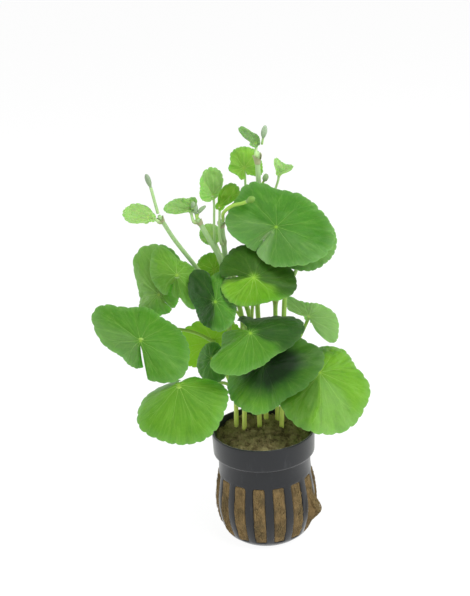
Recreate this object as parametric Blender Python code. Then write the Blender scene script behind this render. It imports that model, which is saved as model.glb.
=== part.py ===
"""Brazilian pennywort, a creeping pond plant with round notched leaves, growing in its slotted net pot.

Lengths in the tables are millimetres and angles are degrees. The origin is the centre of the pot's
flat underside, +Z is up, and -Y is the side that the plant shows.
"""

import math
from typing import NamedTuple

import bpy
from mathutils import Matrix, Vector

MM = 0.001
SHARP_EDGE = 50  # degrees
GAP = 0.35  # between neighbours

# Pot
POT_HEIGHT = 54.5
RIM_RADIUS = 24.3
COLLAR_RADIUS = 23.8
COLLAR_FOOT = 43.6
COLLAR_INSIDE = 45.5
NECK_TOP = 43.2
WALL = 1.1
FLOOR = 1.6
FLOOR_RADIUS = 15.4
SLOTS = 15
SLOT_SHARE = 0.6
SLOT_BOTTOM = 4.5
SLOT_TOP = 33.5
SLOT_TURN = math.radians(-99)
# Heights and outer radii
POT_OUTSIDE = (
    (0.0, 16.5), (1.2, 18.3), (SLOT_BOTTOM, 20.4), (9.0, 22.1), (15.0, 23.4), (21.0, 23.6), (27.0, 23.0),
    (SLOT_TOP, 22.0), (38.0, 21.7), (NECK_TOP, 22.0), (COLLAR_FOOT, COLLAR_RADIUS), (POT_HEIGHT, RIM_RADIUS),
)

# Rockwool
WOOL_TOP = 52.3
WOOL_CROWN = 1.2
WOOL_INSET = 0.8
WOOL_FOOT_RADIUS = 14.8
WOOL_SWELL = 0.5  # past the ribs, in the middle of a slot
WOOL_END_SWELL = 0.2  # at a slot's ends
WOOL_SIDE_GAP = 0.02  # radians, to each rib
WOOL_HEIGHTS = (FLOOR + GAP, SLOT_BOTTOM + GAP, 9.0, 15.0, 21.0, 27.0, SLOT_TOP - GAP, 42.0, WOOL_TOP)
TUFT_SLOT = 3
TUFT_DEPTH = 4.0
TUFT_HEIGHT = 17.0
TUFT_LENGTH = 5.0
TUFT_SPREAD = 0.6

# Stems and buds
STEM_SIDES = 8
STEM_STEPS = 7
STEM_LEAST_STEP = 0.012
NODE_SWELL = 0.3
NODE_LENGTH = 2.2
NODE_REACH = 1.6
BUD_SIDES = 6
STALK_STEPS = 3
BUD_SHAPE = ((0.25, 0.85), (0.5, 1.0), (0.78, 0.8), (1.0, 0.3))  # shares of the length and of the radius

# Leaves
BLADE = 0.6
BLADE_RINGS = 2
LARGE_RADIUS = 14.0
LARGE_SECTORS = 14
SMALL_SECTORS = 10
LAST_STATION = 160  # the angle from the tip of a leaf's first and last radius
LOBE_SPAN = 25  # degrees beside the notch in which a lobe's corner is rounded
LOBE_ROUNDING = 0.16
HUB_RADIUS = 1.5
HUB_SHARE = 0.38  # the most that a hub takes of its blade's smallest radius
PETIOLE_RADIUS = 0.95
SMALL_PETIOLE_RADIUS = 0.65
PETIOLE_ANGLES = (-150, -90, -30, 30, 90, 150)
PETIOLE_STEPS = 6
SHORT_PETIOLE_STEPS = 3
SHORT_LAUNCH = 4.0
PETIOLE_RISE = (0.6, 0.8)  # outward and upward where it leaves its stem
PETIOLE_PULL = 0.35

COLOURS = {
    "pot_plastic": ((0.045, 0.05, 0.06), 0.45),
    "rockwool": ((0.30, 0.19, 0.07), 0.95),
    "leaf_green": ((0.12, 0.36, 0.04), 0.4),
    "young_green": ((0.28, 0.50, 0.08), 0.45),
    "stem_green": ((0.30, 0.48, 0.16), 0.45),
    "bud_green": ((0.22, 0.38, 0.16), 0.5),
}


class Stem(NamedTuple):
    """A stem: the points it passes through, its radius at both ends, and its swollen nodes' heights."""
    name: str
    points: tuple
    radii: tuple
    nodes: tuple


class Leaf(NamedTuple):
    """A blade and its petiole.

    facing is the azimuth and the tilt from upright of the blade's upper side. tip is the heading of the
    blade's tip before it is tilted. radii and lifts are read at equal steps from one side of the notch,
    round the tip, to its other side. notch is half of the notch's angle, and bend the power by which a
    rim that is lifted or hangs down rises from the hub. joins_at is the height where the petiole leaves
    its stem, and side its heading there, towards the hub where none is given. launch is how far the
    petiole runs on from the hub before it turns to the stem, and droop the angle by which it points
    lower there than straight down from the blade.
    """
    name: str
    hub: tuple
    facing: tuple
    tip: float
    radii: tuple
    lifts: tuple
    stem: str
    joins_at: float
    side: float | None = None
    launch: float = 12.0
    droop: float = 0.0
    notch: float = 4.0
    bend: float = 1.6
    young: bool = False


class Bud(NamedTuple):
    """A bud on its stalk: a tube through points, with the stalk's radius and the bud's length and radius."""
    name: str
    points: tuple
    stalk: float
    length: float
    radius: float


STEMS = (
    Stem("stem_left", ((-12.8, 8, 50), (-12.3, 8, 66), (-12.8, 6.5, 87), (-14, 4.5, 107), (-19, 5, 121.6),
                       (-27.3, 5.5, 134.4), (-35.8, 2, 148.7), (-41.4, -2.4, 161.2)),
         (1.1, 0.95), (73, 90, 106, 121)),
    Stem("stem_middle_left", ((-9, 4, 50), (-8, 4, 69), (-7, 3, 92), (-7.2, 3, 108), (-10, 3, 122),
                              (-14.6, 2, 136), (-19.8, 0, 148), (-24.7, -2.3, 159)),
         (1.1, 1.15), (104, 118)),
    Stem("stem_middle", ((-1.5, 7, 50), (-1.8, 7.5, 65), (-3, 7, 90), (-4, 7, 109), (-9, 7.5, 124),
                         (-13, 6, 136), (-14, 2.5, 148), (-14.2, -2, 157.5)),
         (1.15, 1.2), (84, 104, 130, 146)),
    Stem("stem_top", ((1.8, 13, 50), (1.2, 13, 74), (0.4, 13, 95), (0, 12.5, 110), (0.5, 12.5, 125),
                      (1.6, 12, 144.5), (2.8, 11, 163), (3, 9.5, 172), (2.8, 8, 185.4)),
         (1.15, 1.15), (76, 118, 148, 158)),
    Stem("stem_right_back", ((7, 13, 50), (7.6, 13, 73), (7.9, 12, 94), (8.2, 11, 110), (8.8, 9, 121),
                             (9.3, 8, 136), (9.5, 7.5, 141)),
         (1.05, 1.05), (64, 114, 134)),
    Stem("stem_right", ((8.6, 3.8, 50), (9.6, 3, 67), (11, 2.5, 92), (12, 2.5, 112), (13, 3.5, 121.5),
                        (14.5, 5, 131)),
         (1.1, 1.1), (72, 88, 128)),
)

LEAVES = (
    Leaf("leaf_top", (9.6, -17, 158.2), (-85, 38), 34,
         (12, 14.5, 17.5, 22.5, 25.5, 24.5, 24, 23.5, 22.5, 27, 24, 22, 13),
         (-10, -7, -3, -3, -6, -4, -1, -5, -10), "stem_right_back", 134, launch=8, notch=1.5),
    Leaf("leaf_behind_top", (20.5, 3, 147.5), (-75, 38), 27, (14, 16, 17, 17, 17, 17, 17, 16, 14),
         (-5, -4, -3, -2, -2, -2, -3, -4, -5), "stem_right", 128, notch=16),
    Leaf("leaf_upper_front", (-1, -25, 138.4), (-88, 42), -18,
         (14.5, 13.5, 11, 8, 7.5, 10.5, 18, 18, 17, 16, 18, 19.5, 18),
         (-6, -8, -11, -10, -4, -4, -3, -4, -7), "stem_middle", 104, notch=1.5),
    Leaf("leaf_front", (-3.5, -34, 116.5), (-80, 42), -56,
         (13.5, 11.5, 13, 22.5, 17.5, 12.5, 11.5, 13, 19.5, 26.5, 20, 15, 16.5),
         (-14, -13, -4, -10, -12, -7, -9, -14, -14), "stem_middle_left", 104, notch=14),
    Leaf("leaf_low_front", (1.5, -24, 97.5), (-75, 45), -40,
         (13.5, 13.5, 16.5, 21, 21, 18, 16.5, 22.5, 28, 23.5, 20, 16, 14),
         (-12, -14, -6, -9, -12, -1, -3, -13, -14), "stem_middle", 84),
    Leaf("leaf_low_right", (27, -10, 86), (-68, 50), -30,
         (14, 16, 22, 26.5, 28, 28.5, 26, 25.5, 21, 22, 19, 15, 13),
         (-14, -9, -4, -3, -1, -5, -10, -15, -14), "stem_right", 72),
    Leaf("leaf_far_right", (23.5, 8, 106.5), (-70, 35), 90,
         (4, 16, 15, 13.5, 11, 8, 7, 8.5, 14, 10.5, 4, 3, 3),
         (0, -3, -2, -1, 0, 1, 1, 1, 1, 2, 2, 1, 0), "stem_right", 88, bend=2, launch=6, notch=12),
    Leaf("leaf_big_left", (-51.5, -27, 112.5), (-100, 48), 84,
         (19.5, 23.5, 21, 18.5, 16.5, 15.5, 18.5, 19.5, 28, 20.5, 12, 10.5, 11.5),
         (-5, -7, -11, -10, -7, -3, -6, -10, -12), "stem_left", 90, side=170, launch=30, droop=-35,
         notch=5.6),
    Leaf("leaf_low_left", (-35.5, -38, 95), (-98, 55), -90,
         (8, 9, 13, 20, 24.5, 24.5, 25, 25, 22, 20, 13.5, 9.5, 9),
         (-20, -19, -12, -2, -4, -5, -9, -19, -20), "stem_left", 73, droop=45, notch=16),
    Leaf("leaf_lit_behind", (-22, 19, 92.2), (105, 60), -150, (14, 17.5, 19, 18, 19, 20, 19, 15.5, 13),
         (-2, -2, -1, -1, -1, -1, -1, -2, -2), "stem_left", 73, young=True),
    Leaf("leaf_small_dark", (-22, -9, 94.8), (-120, 72), -135, (7, 8, 9, 10.5, 11.5, 11, 9, 7, 7),
         (-4, -4, -4, -3, -2, -2, -3, -4, -4), "stem_left", 80, launch=5),
    Leaf("leaf_folded_left", (-18, -26.5, 128.7), (-85, 55), -80,
         (19, 14, 9, 8, 9, 10.5, 13, 12, 10, 9.5, 9.5, 11, 16), (-8, -12, -14, -9, -2, -3, -7, -8, -6),
         "stem_middle_left", 118),
    Leaf("leaf_upper_left", (-34.8, -11, 136.3), (-95, 50), 37,
         (6.5, 6, 12.5, 14.5, 11, 9.5, 9, 9, 10, 18, 15, 12.5, 10),
         (-14, -14, -12.5, -10, -8, -6, -4, -5, -9), "stem_left", 106, notch=3),
    Leaf("leaf_outer_left", (-44.2, -3, 124.6), (-110, 55), 110,
         (5.5, 5, 5.5, 9, 20, 24.5, 25, 16, 12.5, 13.5, 10.5, 7, 6.5),
         (-10, -12, -9, -2, -3, -8, -9, -10, -10), "stem_left", 121, side=150, launch=20),
    Leaf("leaf_crown", (-3.2, 16, 176.2), (-95, 60), 100,
         (5, 9, 8.5, 8.5, 9.5, 9.5, 9.5, 9, 6.5, 7, 5.5, 5, 6.5), (3, 2, 1, 1, 1, 1, 1, 2, 3), "stem_top",
         148, young=True, notch=6),
    Leaf("leaf_young_tall", (-17.5, 0, 168.7), (-110, 75), 85, (2.5, 3, 5, 10.5, 12, 6, 4, 3.5, 3),
         (2, 2, 2, 1, 0, 3, 5, 5, 4), "stem_middle", 130, side=200, launch=9, droop=50, young=True),
    Leaf("leaf_young_bright", (-14.4, -8.5, 165.9), (-85, 72), 62,
         (2, 2, 2, 2, 3, 10.5, 11.5, 7, 2.5, 2, 2, 2, 2),
         (1, 3, 4, 2, 0, 2, 3, 2, 1), "stem_middle", 146, side=-110, launch=9, droop=50, young=True),
    Leaf("leaf_shoot", (-27.4, -3.2, 163.2), (-100, 50), 140, (2, 3, 5, 5.5, 6.2, 9.8, 11.7, 5, 2.2, 2, 2),
         (4, 3, 3, 1, 0, 2, 4, 4, 4), "stem_middle_left", 157.8, launch=1.5, young=True),
    Leaf("leaf_far_left", (-46, -6, 162), (-100, 45), 160,
         (3, 3.4, 3.9, 6.6, 10.2, 11.8, 8.5, 4.8, 3.4, 3, 3), (-2, -2, -2, -1, 0, 1, 1, 0, -1),
         "stem_left", 158.5, launch=1.5, young=True),
    Leaf("leaf_fan", (12.2, 9, 174.7), (-90, 70), 75,
         (1.5, 1.5, 1.5, 2.5, 7, 5.2, 5.4, 7, 2.5, 1.5, 1.5, 1.5, 1.5), (3, 3, 2, 1, 0, 1, 2, 3, 3),
         "stem_top", 158, launch=5, droop=50, young=True),
    Leaf("leaf_small_behind", (-19, 15, 146.5), (-90, 60), -160, (4, 4.5, 5.5, 6, 6, 5.5, 5, 4.5, 4),
         (-1, -1, -1, -1, -1, -1, -1, -1, -1), "stem_middle", 134, young=True),
    Leaf("leaf_pale_behind", (-19, 12, 130), (-95, 50), 95, (9, 10, 10, 9.5, 9.5, 9.5, 9, 9, 9),
         (-2, -2, -2, -2, -2, -2, -2, -2, -2), "stem_middle", 104, young=True),
    Leaf("leaf_tip", (2.6, 7, 189.3), (-100, 70), 128,
         (2, 2.1, 2.3, 3, 4, 5.5, 10.5, 3.3, 2.9, 2.3, 2, 2, 2),
         (1, 1, 1, 0, 0, 0, 1, 1, 1), "stem_top", 184, launch=1.5, young=True),
    Leaf("leaf_back_upper", (8, 36, 131), (75, 38), 100, (15, 16, 17, 17, 16.5, 17, 17, 16, 15),
         (-5, -4, -3, -2, -2, -2, -3, -4, -5), "stem_top", 118),
    Leaf("leaf_back_low", (5, 40, 74), (85, 42), 60, (18, 20, 20, 21, 20, 21, 20, 19, 18),
         (-7, -5, -3, -3, -2, -3, -4, -5, -6), "stem_right_back", 64),
    Leaf("leaf_back_right", (31, 27, 66), (40, 40), 20, (15, 17, 17, 18, 17, 17, 17, 16, 15),
         (-6, -4, -3, -2, -2, -3, -4, -5, -6), "stem_right_back", 64),
    Leaf("leaf_back_left", (-20, 33, 110), (115, 42), 140, (11, 12, 12.5, 12.5, 12, 12.5, 12, 12, 11),
         (-4, -3, -2, -2, -1, -2, -2, -3, -4), "stem_top", 76),
)

BUDS = (
    Bud("bud_left", ((-41.8, -2.8, 162.4), (-42.9, -3.4, 168.4), (-44.1, -4, 174.8), (-45.7, -4, 180.7)),
        0.7, 6.5, 1.3),
    Bud("bud_middle", ((-13.2, -5, 158.6), (-12.8, -15.6, 164.9), (-8.8, -18.2, 168.7), (-4, -20.6, 170.4),
                       (0.9, -23.2, 173.2)),
        0.75, 5.5, 1.6),
    Bud("bud_top", ((5.2, 8, 188.5), (5.7, 7.4, 191), (6.3, 7, 194), (7, 7, 197.1)), 0.5, 5.5, 1.45),
    Bud("bud_small", ((4.7, 8, 170.9), (5.3, 7.6, 171.8), (6.1, 7.2, 173.4), (6.6, 7, 175.4)), 0.5, 3.2, 1.5),
)


def remove_everything():
    for item in list(bpy.data.objects):
        bpy.data.objects.remove(item, do_unlink=True)


def material(name):
    """The named plain material, made once."""
    if name in bpy.data.materials:
        return bpy.data.materials[name]
    colour, roughness = COLOURS[name]
    made = bpy.data.materials.new(name)
    made.use_nodes = True
    shader = made.node_tree.nodes["Principled BSDF"]
    shader.inputs["Base Color"].default_value = (*colour, 1.0)
    shader.inputs["Roughness"].default_value = roughness
    shader.inputs["Metallic"].default_value = 0.0
    return made


def add_solid(name, points, faces, material_name):
    """A named object from points in millimetres and their faces."""
    mesh = bpy.data.meshes.new(name)
    mesh.from_pydata([Vector(point) * MM for point in points], [], faces)
    mesh.validate()
    mesh.shade_smooth()
    mesh.set_sharp_from_angle(angle=math.radians(SHARP_EDGE))
    mesh.materials.append(material(material_name))
    solid = bpy.data.objects.new(name, mesh)
    bpy.context.scene.collection.objects.link(solid)
    return solid


def read_curve(values, position):
    """A smooth value between equally spaced ones, with position from 0 at the first to 1 at the last."""
    span = max(0.0, min(position, 1.0)) * (len(values) - 1)
    low = min(int(span), len(values) - 2)
    share = span - low
    first, second = values[low], values[low + 1]
    before = values[low - 1] if low else first
    after = values[low + 2] if low + 2 < len(values) else second
    slope_first = (second - before) / 2
    slope_second = (after - first) / 2
    return (first * (1 + 2 * share) * (1 - share) ** 2 + slope_first * share * (1 - share) ** 2
            + second * share ** 2 * (3 - 2 * share) + slope_second * share ** 2 * (share - 1))


def curve_point(points, position):
    """A point on the smooth curve through equally weighted points."""
    return Vector([read_curve([point[axis] for point in points], position) for axis in range(3)])


def curve_at_height(points, height):
    """Where a rising curve reaches a height: its place from 0 to 1."""
    low, high = 0.0, 1.0
    while high - low > 1e-5:
        middle = (low + high) / 2
        if curve_point(points, middle).z < height:
            low = middle
        else:
            high = middle
    return low


def bezier(start, leave, arrive, end, share):
    rest = 1 - share
    return (start * rest ** 3 + leave * 3 * rest ** 2 * share + arrive * 3 * rest * share ** 2
            + end * share ** 3)


def bridge(faces, first, second, closed=True, flip=False):
    """Four-cornered faces between two rings, split along the same diagonal whichever way they face."""
    count = len(first)
    for index in range(count if closed else count - 1):
        after = (index + 1) % count
        corners = (first[index], first[after], second[after], second[index])
        faces.append((corners[0], *corners[:0:-1]) if flip else corners)


def tube(path, radii, sides):
    """A closed tube along a path, its rings carried without twist, as points and faces."""
    points, faces, rings = [], [], []
    side = None
    for index, centre in enumerate(path):
        ahead = path[min(index + 1, len(path) - 1)]
        behind = path[max(index - 1, 0)]
        along = (ahead - behind).normalized()
        if side is None:
            side = along.orthogonal().normalized()
        side = (side - along * side.dot(along)).normalized()
        across = along.cross(side)
        ring = []
        for step in range(sides):
            turn = 2 * math.pi * step / sides
            ring.append(len(points))
            points.append(centre + (side * math.cos(turn) + across * math.sin(turn)) * radii[index])
        rings.append(ring)
    for low, high in zip(rings, rings[1:]):
        bridge(faces, low, high)
    faces.append(tuple(reversed(rings[0])))
    faces.append(tuple(rings[-1]))
    return points, faces


def profile_radius(height):
    """The pot's outer radius at a height, read from its profile."""
    for (low, low_radius), (high, high_radius) in zip(POT_OUTSIDE, POT_OUTSIDE[1:]):
        if height <= high:
            return low_radius + (high_radius - low_radius) * (height - low) / (high - low)
    return POT_OUTSIDE[-1][1]


def wool_radius(height):
    """The rockwool's radius behind the pot's ribs at a height."""
    return profile_radius(height) - WALL - WOOL_INSET


def stem_radius(stem, share):
    """The stem's radius at a share of its length, with its nodes' swellings."""
    radius = stem.radii[0] + (stem.radii[1] - stem.radii[0]) * share
    height = curve_point(stem.points, share).z
    for node in stem.nodes:
        radius += NODE_SWELL * math.exp(-((height - node) / NODE_LENGTH) ** 2)
    return radius


def wool_height(distance):
    """The rockwool's upper side, a low cone, at a distance from the pot's axis."""
    return WOOL_TOP + WOOL_CROWN * (1 - distance / wool_radius(WOOL_TOP))


def make_stem(stem):
    """A stem that stands on the rockwool. Rings lie close together only at the nodes."""
    shares = {0.0, 1.0}
    shares.update(index / STEM_STEPS for index in range(1, STEM_STEPS))
    for node in stem.nodes:
        shares.add(curve_at_height(stem.points, node))
        shares.add(curve_at_height(stem.points, node - NODE_REACH * NODE_LENGTH))
        shares.add(curve_at_height(stem.points, node + NODE_REACH * NODE_LENGTH))
    shares = sorted(shares)
    kept = [shares[0]]
    for share in shares[1:]:
        if share - kept[-1] > STEM_LEAST_STEP:
            kept.append(share)
    path = [curve_point(stem.points, share) for share in kept]
    radii = [stem_radius(stem, share) for share in kept]
    path[0].z = wool_height(path[0].xy.length - radii[0]) + GAP
    points, faces = tube(path, radii, STEM_SIDES)
    return add_solid(stem.name, points, faces, "stem_green")


def blade_axes(leaf):
    """The blade's tip direction, its left side and its upper side."""
    azimuth, tilt = (math.radians(angle) for angle in leaf.facing)
    hinge = Vector((-math.sin(azimuth), math.cos(azimuth), 0.0))
    turn = Matrix.Rotation(tilt, 3, hinge)
    heading = math.radians(leaf.tip)
    tip = turn @ Vector((math.cos(heading), math.sin(heading), 0.0))
    up = turn @ Vector((0.0, 0.0, 1.0))
    return tip, up.cross(tip), up


def blade_point(leaf, angle, share):
    """A point of the blade's upper side: an angle from the tip, and a share of the way from hub to rim."""
    tip, left, up = blade_axes(leaf)
    position = (angle + LAST_STATION) / (2 * LAST_STATION)
    radius = read_curve(leaf.radii, position)
    lobe = (abs(angle) - (180 - leaf.notch - LOBE_SPAN)) / LOBE_SPAN
    if lobe > 0:
        radius *= 1 - LOBE_ROUNDING * lobe ** 2
    lift = read_curve(leaf.lifts, position) * share ** leaf.bend
    turn = math.radians(angle)
    reach = radius * share
    return Vector(leaf.hub) + tip * (reach * math.cos(turn)) + left * (reach * math.sin(turn)) + up * lift


def zip_rings(faces, inner, outer, inner_angles, outer_angles, flip=False):
    """Triangles between two open rings that have different counts, by their angles."""
    first, second = 0, 0
    while first < len(inner) - 1 or second < len(outer) - 1:
        step_inner = second == len(outer) - 1 or (
            first < len(inner) - 1 and inner_angles[first + 1] - inner_angles[0]
            < outer_angles[second + 1] - outer_angles[0])
        if step_inner:
            corners = (inner[first], outer[second], inner[first + 1])
            first += 1
        else:
            corners = (inner[first], outer[second], outer[second + 1])
            second += 1
        faces.append(corners[::-1] if flip else corners)


def hub_radius(leaf):
    return min(HUB_RADIUS, HUB_SHARE * min(leaf.radii))


def petiole_radius(leaf):
    return PETIOLE_RADIUS if max(leaf.radii) > LARGE_RADIUS else SMALL_PETIOLE_RADIUS


def petiole_path(leaf, steps):
    """Points from the hub's underside down to the stem, where a small gap is kept."""
    up = blade_axes(leaf)[2]
    start = Vector(leaf.hub) - up * BLADE
    stem = next(item for item in STEMS if item.name == leaf.stem)
    share = curve_at_height(stem.points, leaf.joins_at)
    joint = curve_point(stem.points, share)
    outward = Vector((leaf.hub[0] - joint.x, leaf.hub[1] - joint.y, 0.0)).normalized()
    if leaf.side is not None:
        heading = math.radians(leaf.side)
        outward = Vector((math.cos(heading), math.sin(heading), 0.0))
    foot = joint + outward * (stem_radius(stem, share) + GAP + petiole_radius(leaf))
    leave = outward * PETIOLE_RISE[0] + Vector((0.0, 0.0, PETIOLE_RISE[1]))
    reach = (foot - start).length * PETIOLE_PULL
    hinge = up.cross(Vector((0.0, 0.0, 1.0))).normalized()
    onward = Matrix.Rotation(math.radians(leaf.droop), 3, hinge) @ -up
    return [bezier(start, start + onward * leaf.launch, foot + leave * reach, foot, index / steps)
            for index in range(steps + 1)]


def make_leaf(leaf):
    """One closed solid: upper side, underside and rim of the blade, and the petiole grown from its hub."""
    tip, left, up = blade_axes(leaf)
    hub = Vector(leaf.hub)
    points, faces = [], []
    sectors = LARGE_SECTORS if max(leaf.radii) > LARGE_RADIUS else SMALL_SECTORS
    petiole_steps = PETIOLE_STEPS if leaf.launch > SHORT_LAUNCH else SHORT_PETIOLE_STEPS

    def add(point):
        points.append(point)
        return len(points) - 1

    half_turn = 180 - leaf.notch
    angles = [-half_turn + 2 * half_turn * index / sectors for index in range(sectors + 1)]
    hub_ring = []
    for angle in PETIOLE_ANGLES:
        turn = math.radians(angle)
        hub_ring.append(hub + (tip * math.cos(turn) + left * math.sin(turn)) * hub_radius(leaf))
    top_hub = [add(point) for point in hub_ring]
    low_hub = [add(point - up * BLADE) for point in hub_ring]
    top, low = [], []
    for ring in range(1, BLADE_RINGS + 1):
        edge = [blade_point(leaf, angle, ring / BLADE_RINGS) for angle in angles]
        top.append([add(point) for point in edge])
        low.append([add(point - up * BLADE) for point in edge])

    faces.append(tuple(top_hub))
    zip_rings(faces, top_hub, top[0], PETIOLE_ANGLES, angles)
    zip_rings(faces, low_hub, low[0], PETIOLE_ANGLES, angles, flip=True)
    for ring in range(BLADE_RINGS - 1):
        bridge(faces, top[ring], top[ring + 1], closed=False, flip=True)
        bridge(faces, low[ring], low[ring + 1], closed=False)
    bridge(faces, top[-1], low[-1], closed=False, flip=True)
    for end, flip in ((0, True), (-1, False)):
        upper = [top_hub[end]] + [ring[end] for ring in top]
        under = [low_hub[end]] + [ring[end] for ring in low]
        bridge(faces, upper, under, closed=False, flip=flip)
    faces.append((top_hub[-1], low_hub[-1], low_hub[0], top_hub[0]))

    path = petiole_path(leaf, petiole_steps)
    previous = low_hub
    side, along_before = tip, -up
    for index in range(1, len(path)):
        ahead = path[min(index + 1, len(path) - 1)]
        along = (ahead - path[index - 1]).normalized()
        side = along_before.rotation_difference(along) @ side
        along_before = along
        across = side.cross(along)
        ring = []
        for angle in PETIOLE_ANGLES:
            turn = math.radians(angle)
            around = side * math.cos(turn) + across * math.sin(turn)
            ring.append(add(path[index] + around * petiole_radius(leaf)))
        bridge(faces, previous, ring, flip=True)
        previous = ring
    faces.append(tuple(reversed(previous)))
    return add_solid(leaf.name, points, faces, "young_green" if leaf.young else "leaf_green")


def make_bud(bud):
    """A thin stalk that swells into a pointed bud at its end."""
    total = sum((Vector(b) - Vector(a)).length for a, b in zip(bud.points, bud.points[1:]))
    from_share = 1 - bud.length / total
    shares = [from_share * index / STALK_STEPS for index in range(STALK_STEPS + 1)]
    radii = [bud.stalk] * len(shares)
    for step, girth in BUD_SHAPE:
        shares.append(from_share + (1 - from_share) * step)
        radii.append(bud.radius * girth)
    points, faces = tube([curve_point(bud.points, share) for share in shares], radii, BUD_SIDES)
    return add_solid(bud.name, points, faces, "bud_green")


def pot_angles():
    """Two columns a slot, one at each of its sides, so that ribs and slots alternate."""
    pitch = 2 * math.pi / SLOTS
    angles = []
    for slot in range(SLOTS):
        centre = slot * pitch + SLOT_TURN
        angles.append(centre - pitch * SLOT_SHARE / 2)
        angles.append(centre + pitch * SLOT_SHARE / 2)
    return angles


def make_pot():
    """A turned wall with a floor, and slots left open between the ribs."""
    points, faces = [], []
    angles = pot_angles()

    def add_ring(radius, height):
        ring = []
        for angle in angles:
            ring.append(len(points))
            points.append(Vector((radius * math.cos(angle), radius * math.sin(angle), height)))
        return ring

    outside = [add_ring(radius, height) for height, radius in POT_OUTSIDE]
    inside_profile = [(FLOOR, FLOOR_RADIUS)] + [
        (height, radius - WALL) for height, radius in POT_OUTSIDE if SLOT_BOTTOM <= height <= NECK_TOP
    ] + [(COLLAR_INSIDE, COLLAR_RADIUS - WALL), (POT_HEIGHT, RIM_RADIUS - WALL)]
    inside = [add_ring(radius, height) for height, radius in inside_profile]

    def wall(rings, heights, flip):
        for low, high, bottom, top in zip(rings, rings[1:], heights, heights[1:]):
            in_slots = bottom >= SLOT_BOTTOM and top <= SLOT_TOP
            for column in range(len(angles)):
                is_slot = column % 2 == 0
                if in_slots and is_slot:
                    continue
                after = (column + 1) % len(angles)
                corners = (low[column], low[after], high[after], high[column])
                faces.append(corners[::-1] if flip else corners)

    outer_heights = [height for height, _ in POT_OUTSIDE]
    inner_heights = [height for height, _ in inside_profile]
    wall(outside, outer_heights, flip=False)
    wall(inside, inner_heights, flip=True)
    bridge(faces, outside[-1], inside[-1])
    faces.append(tuple(reversed(outside[0])))
    faces.append(tuple(inside[0]))

    outer_rows = [i for i, height in enumerate(outer_heights) if SLOT_BOTTOM <= height <= SLOT_TOP]
    inner_rows = [i for i, height in enumerate(inner_heights) if SLOT_BOTTOM <= height <= SLOT_TOP]
    for column in range(0, len(angles), 2):
        for side, flip in ((column, True), (column + 1, False)):
            outer = [outside[row][side] for row in outer_rows]
            inner = [inside[row][side] for row in inner_rows]
            bridge(faces, outer, inner, closed=False, flip=flip)
        for outer_row, inner_row, flip in ((outer_rows[0], inner_rows[0], False),
                                           (outer_rows[-1], inner_rows[-1], True)):
            corners = (outside[outer_row][column], outside[outer_row][column + 1],
                       inside[inner_row][column + 1], inside[inner_row][column])
            faces.append(corners[::-1] if flip else corners)
    return add_solid("pot", points, faces, "pot_plastic")


def make_rockwool():
    """A plug in the pot that swells through the slots, with a crowned top and a tuft at the lower right."""
    points, faces = [], []
    pitch = 2 * math.pi / SLOTS
    slot_half = pitch * SLOT_SHARE / 2 - WOOL_SIDE_GAP
    slot_heights = [height for height in WOOL_HEIGHTS if SLOT_BOTTOM < height < SLOT_TOP]
    rings = []
    for height in WOOL_HEIGHTS:
        inner = wool_radius(height) if height > SLOT_BOTTOM else WOOL_FOOT_RADIUS
        swells = height in slot_heights
        ring = []
        for slot in range(SLOTS):
            centre = slot * pitch + SLOT_TURN
            outer = profile_radius(height) + WOOL_SWELL
            if height in (slot_heights[0], slot_heights[-1]):
                outer = inner + WOOL_END_SWELL
            across = (slot - TUFT_SLOT) / TUFT_SPREAD
            upward = (height - TUFT_HEIGHT) / TUFT_LENGTH
            tuft = TUFT_DEPTH * math.exp(-across ** 2 - upward ** 2)
            corners = [(centre - slot_half, inner), (centre + slot_half, inner)]
            if swells:
                corners[1:1] = [(centre - slot_half, outer + tuft), (centre + slot_half, outer + tuft)]
            for angle, radius in corners:
                ring.append(len(points))
                points.append(Vector((radius * math.cos(angle), radius * math.sin(angle), height)))
        rings.append(ring)
    for low, high in zip(rings, rings[1:]):
        if len(low) == len(high):
            bridge(faces, low, high)
            continue
        for slot in range(SLOTS):
            wide, narrow = (low, high) if len(low) > len(high) else (high, low)
            four = [wide[4 * slot + step] for step in range(4)]
            two = [narrow[2 * slot + step] for step in range(2)]
            after_wide = wide[(4 * slot + 4) % len(wide)]
            after_narrow = narrow[(2 * slot + 2) % len(narrow)]
            pieces = [(four[0], four[1], two[0]), (four[1], four[2], two[1], two[0]),
                      (four[2], four[3], two[1]), (four[3], after_wide, after_narrow, two[1])]
            for piece in pieces:
                faces.append(piece if wide is low else piece[::-1])
    crown = len(points)
    points.append(Vector((0.0, 0.0, WOOL_TOP + WOOL_CROWN)))
    last = rings[-1]
    for index in range(len(last)):
        faces.append((last[index], last[(index + 1) % len(last)], crown))
    faces.append(tuple(reversed(rings[0])))
    return add_solid("rockwool", points, faces, "rockwool")


def main():
    remove_everything()
    make_pot()
    make_rockwool()
    for stem in STEMS:
        make_stem(stem)
    for leaf in LEAVES:
        make_leaf(leaf)
    for bud in BUDS:
        make_bud(bud)


main()
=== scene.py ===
"""The looks of the Brazilian pennywort in its net pot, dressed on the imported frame.

Lengths in the tables are millimetres and angles are degrees, with the part's own origin and axes.
"""

import random
from math import cos, exp, hypot, pi, radians, sin, sqrt
from typing import NamedTuple

import bmesh
import bpy
import numpy as np
from mathutils import Matrix, Vector, noise

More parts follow.
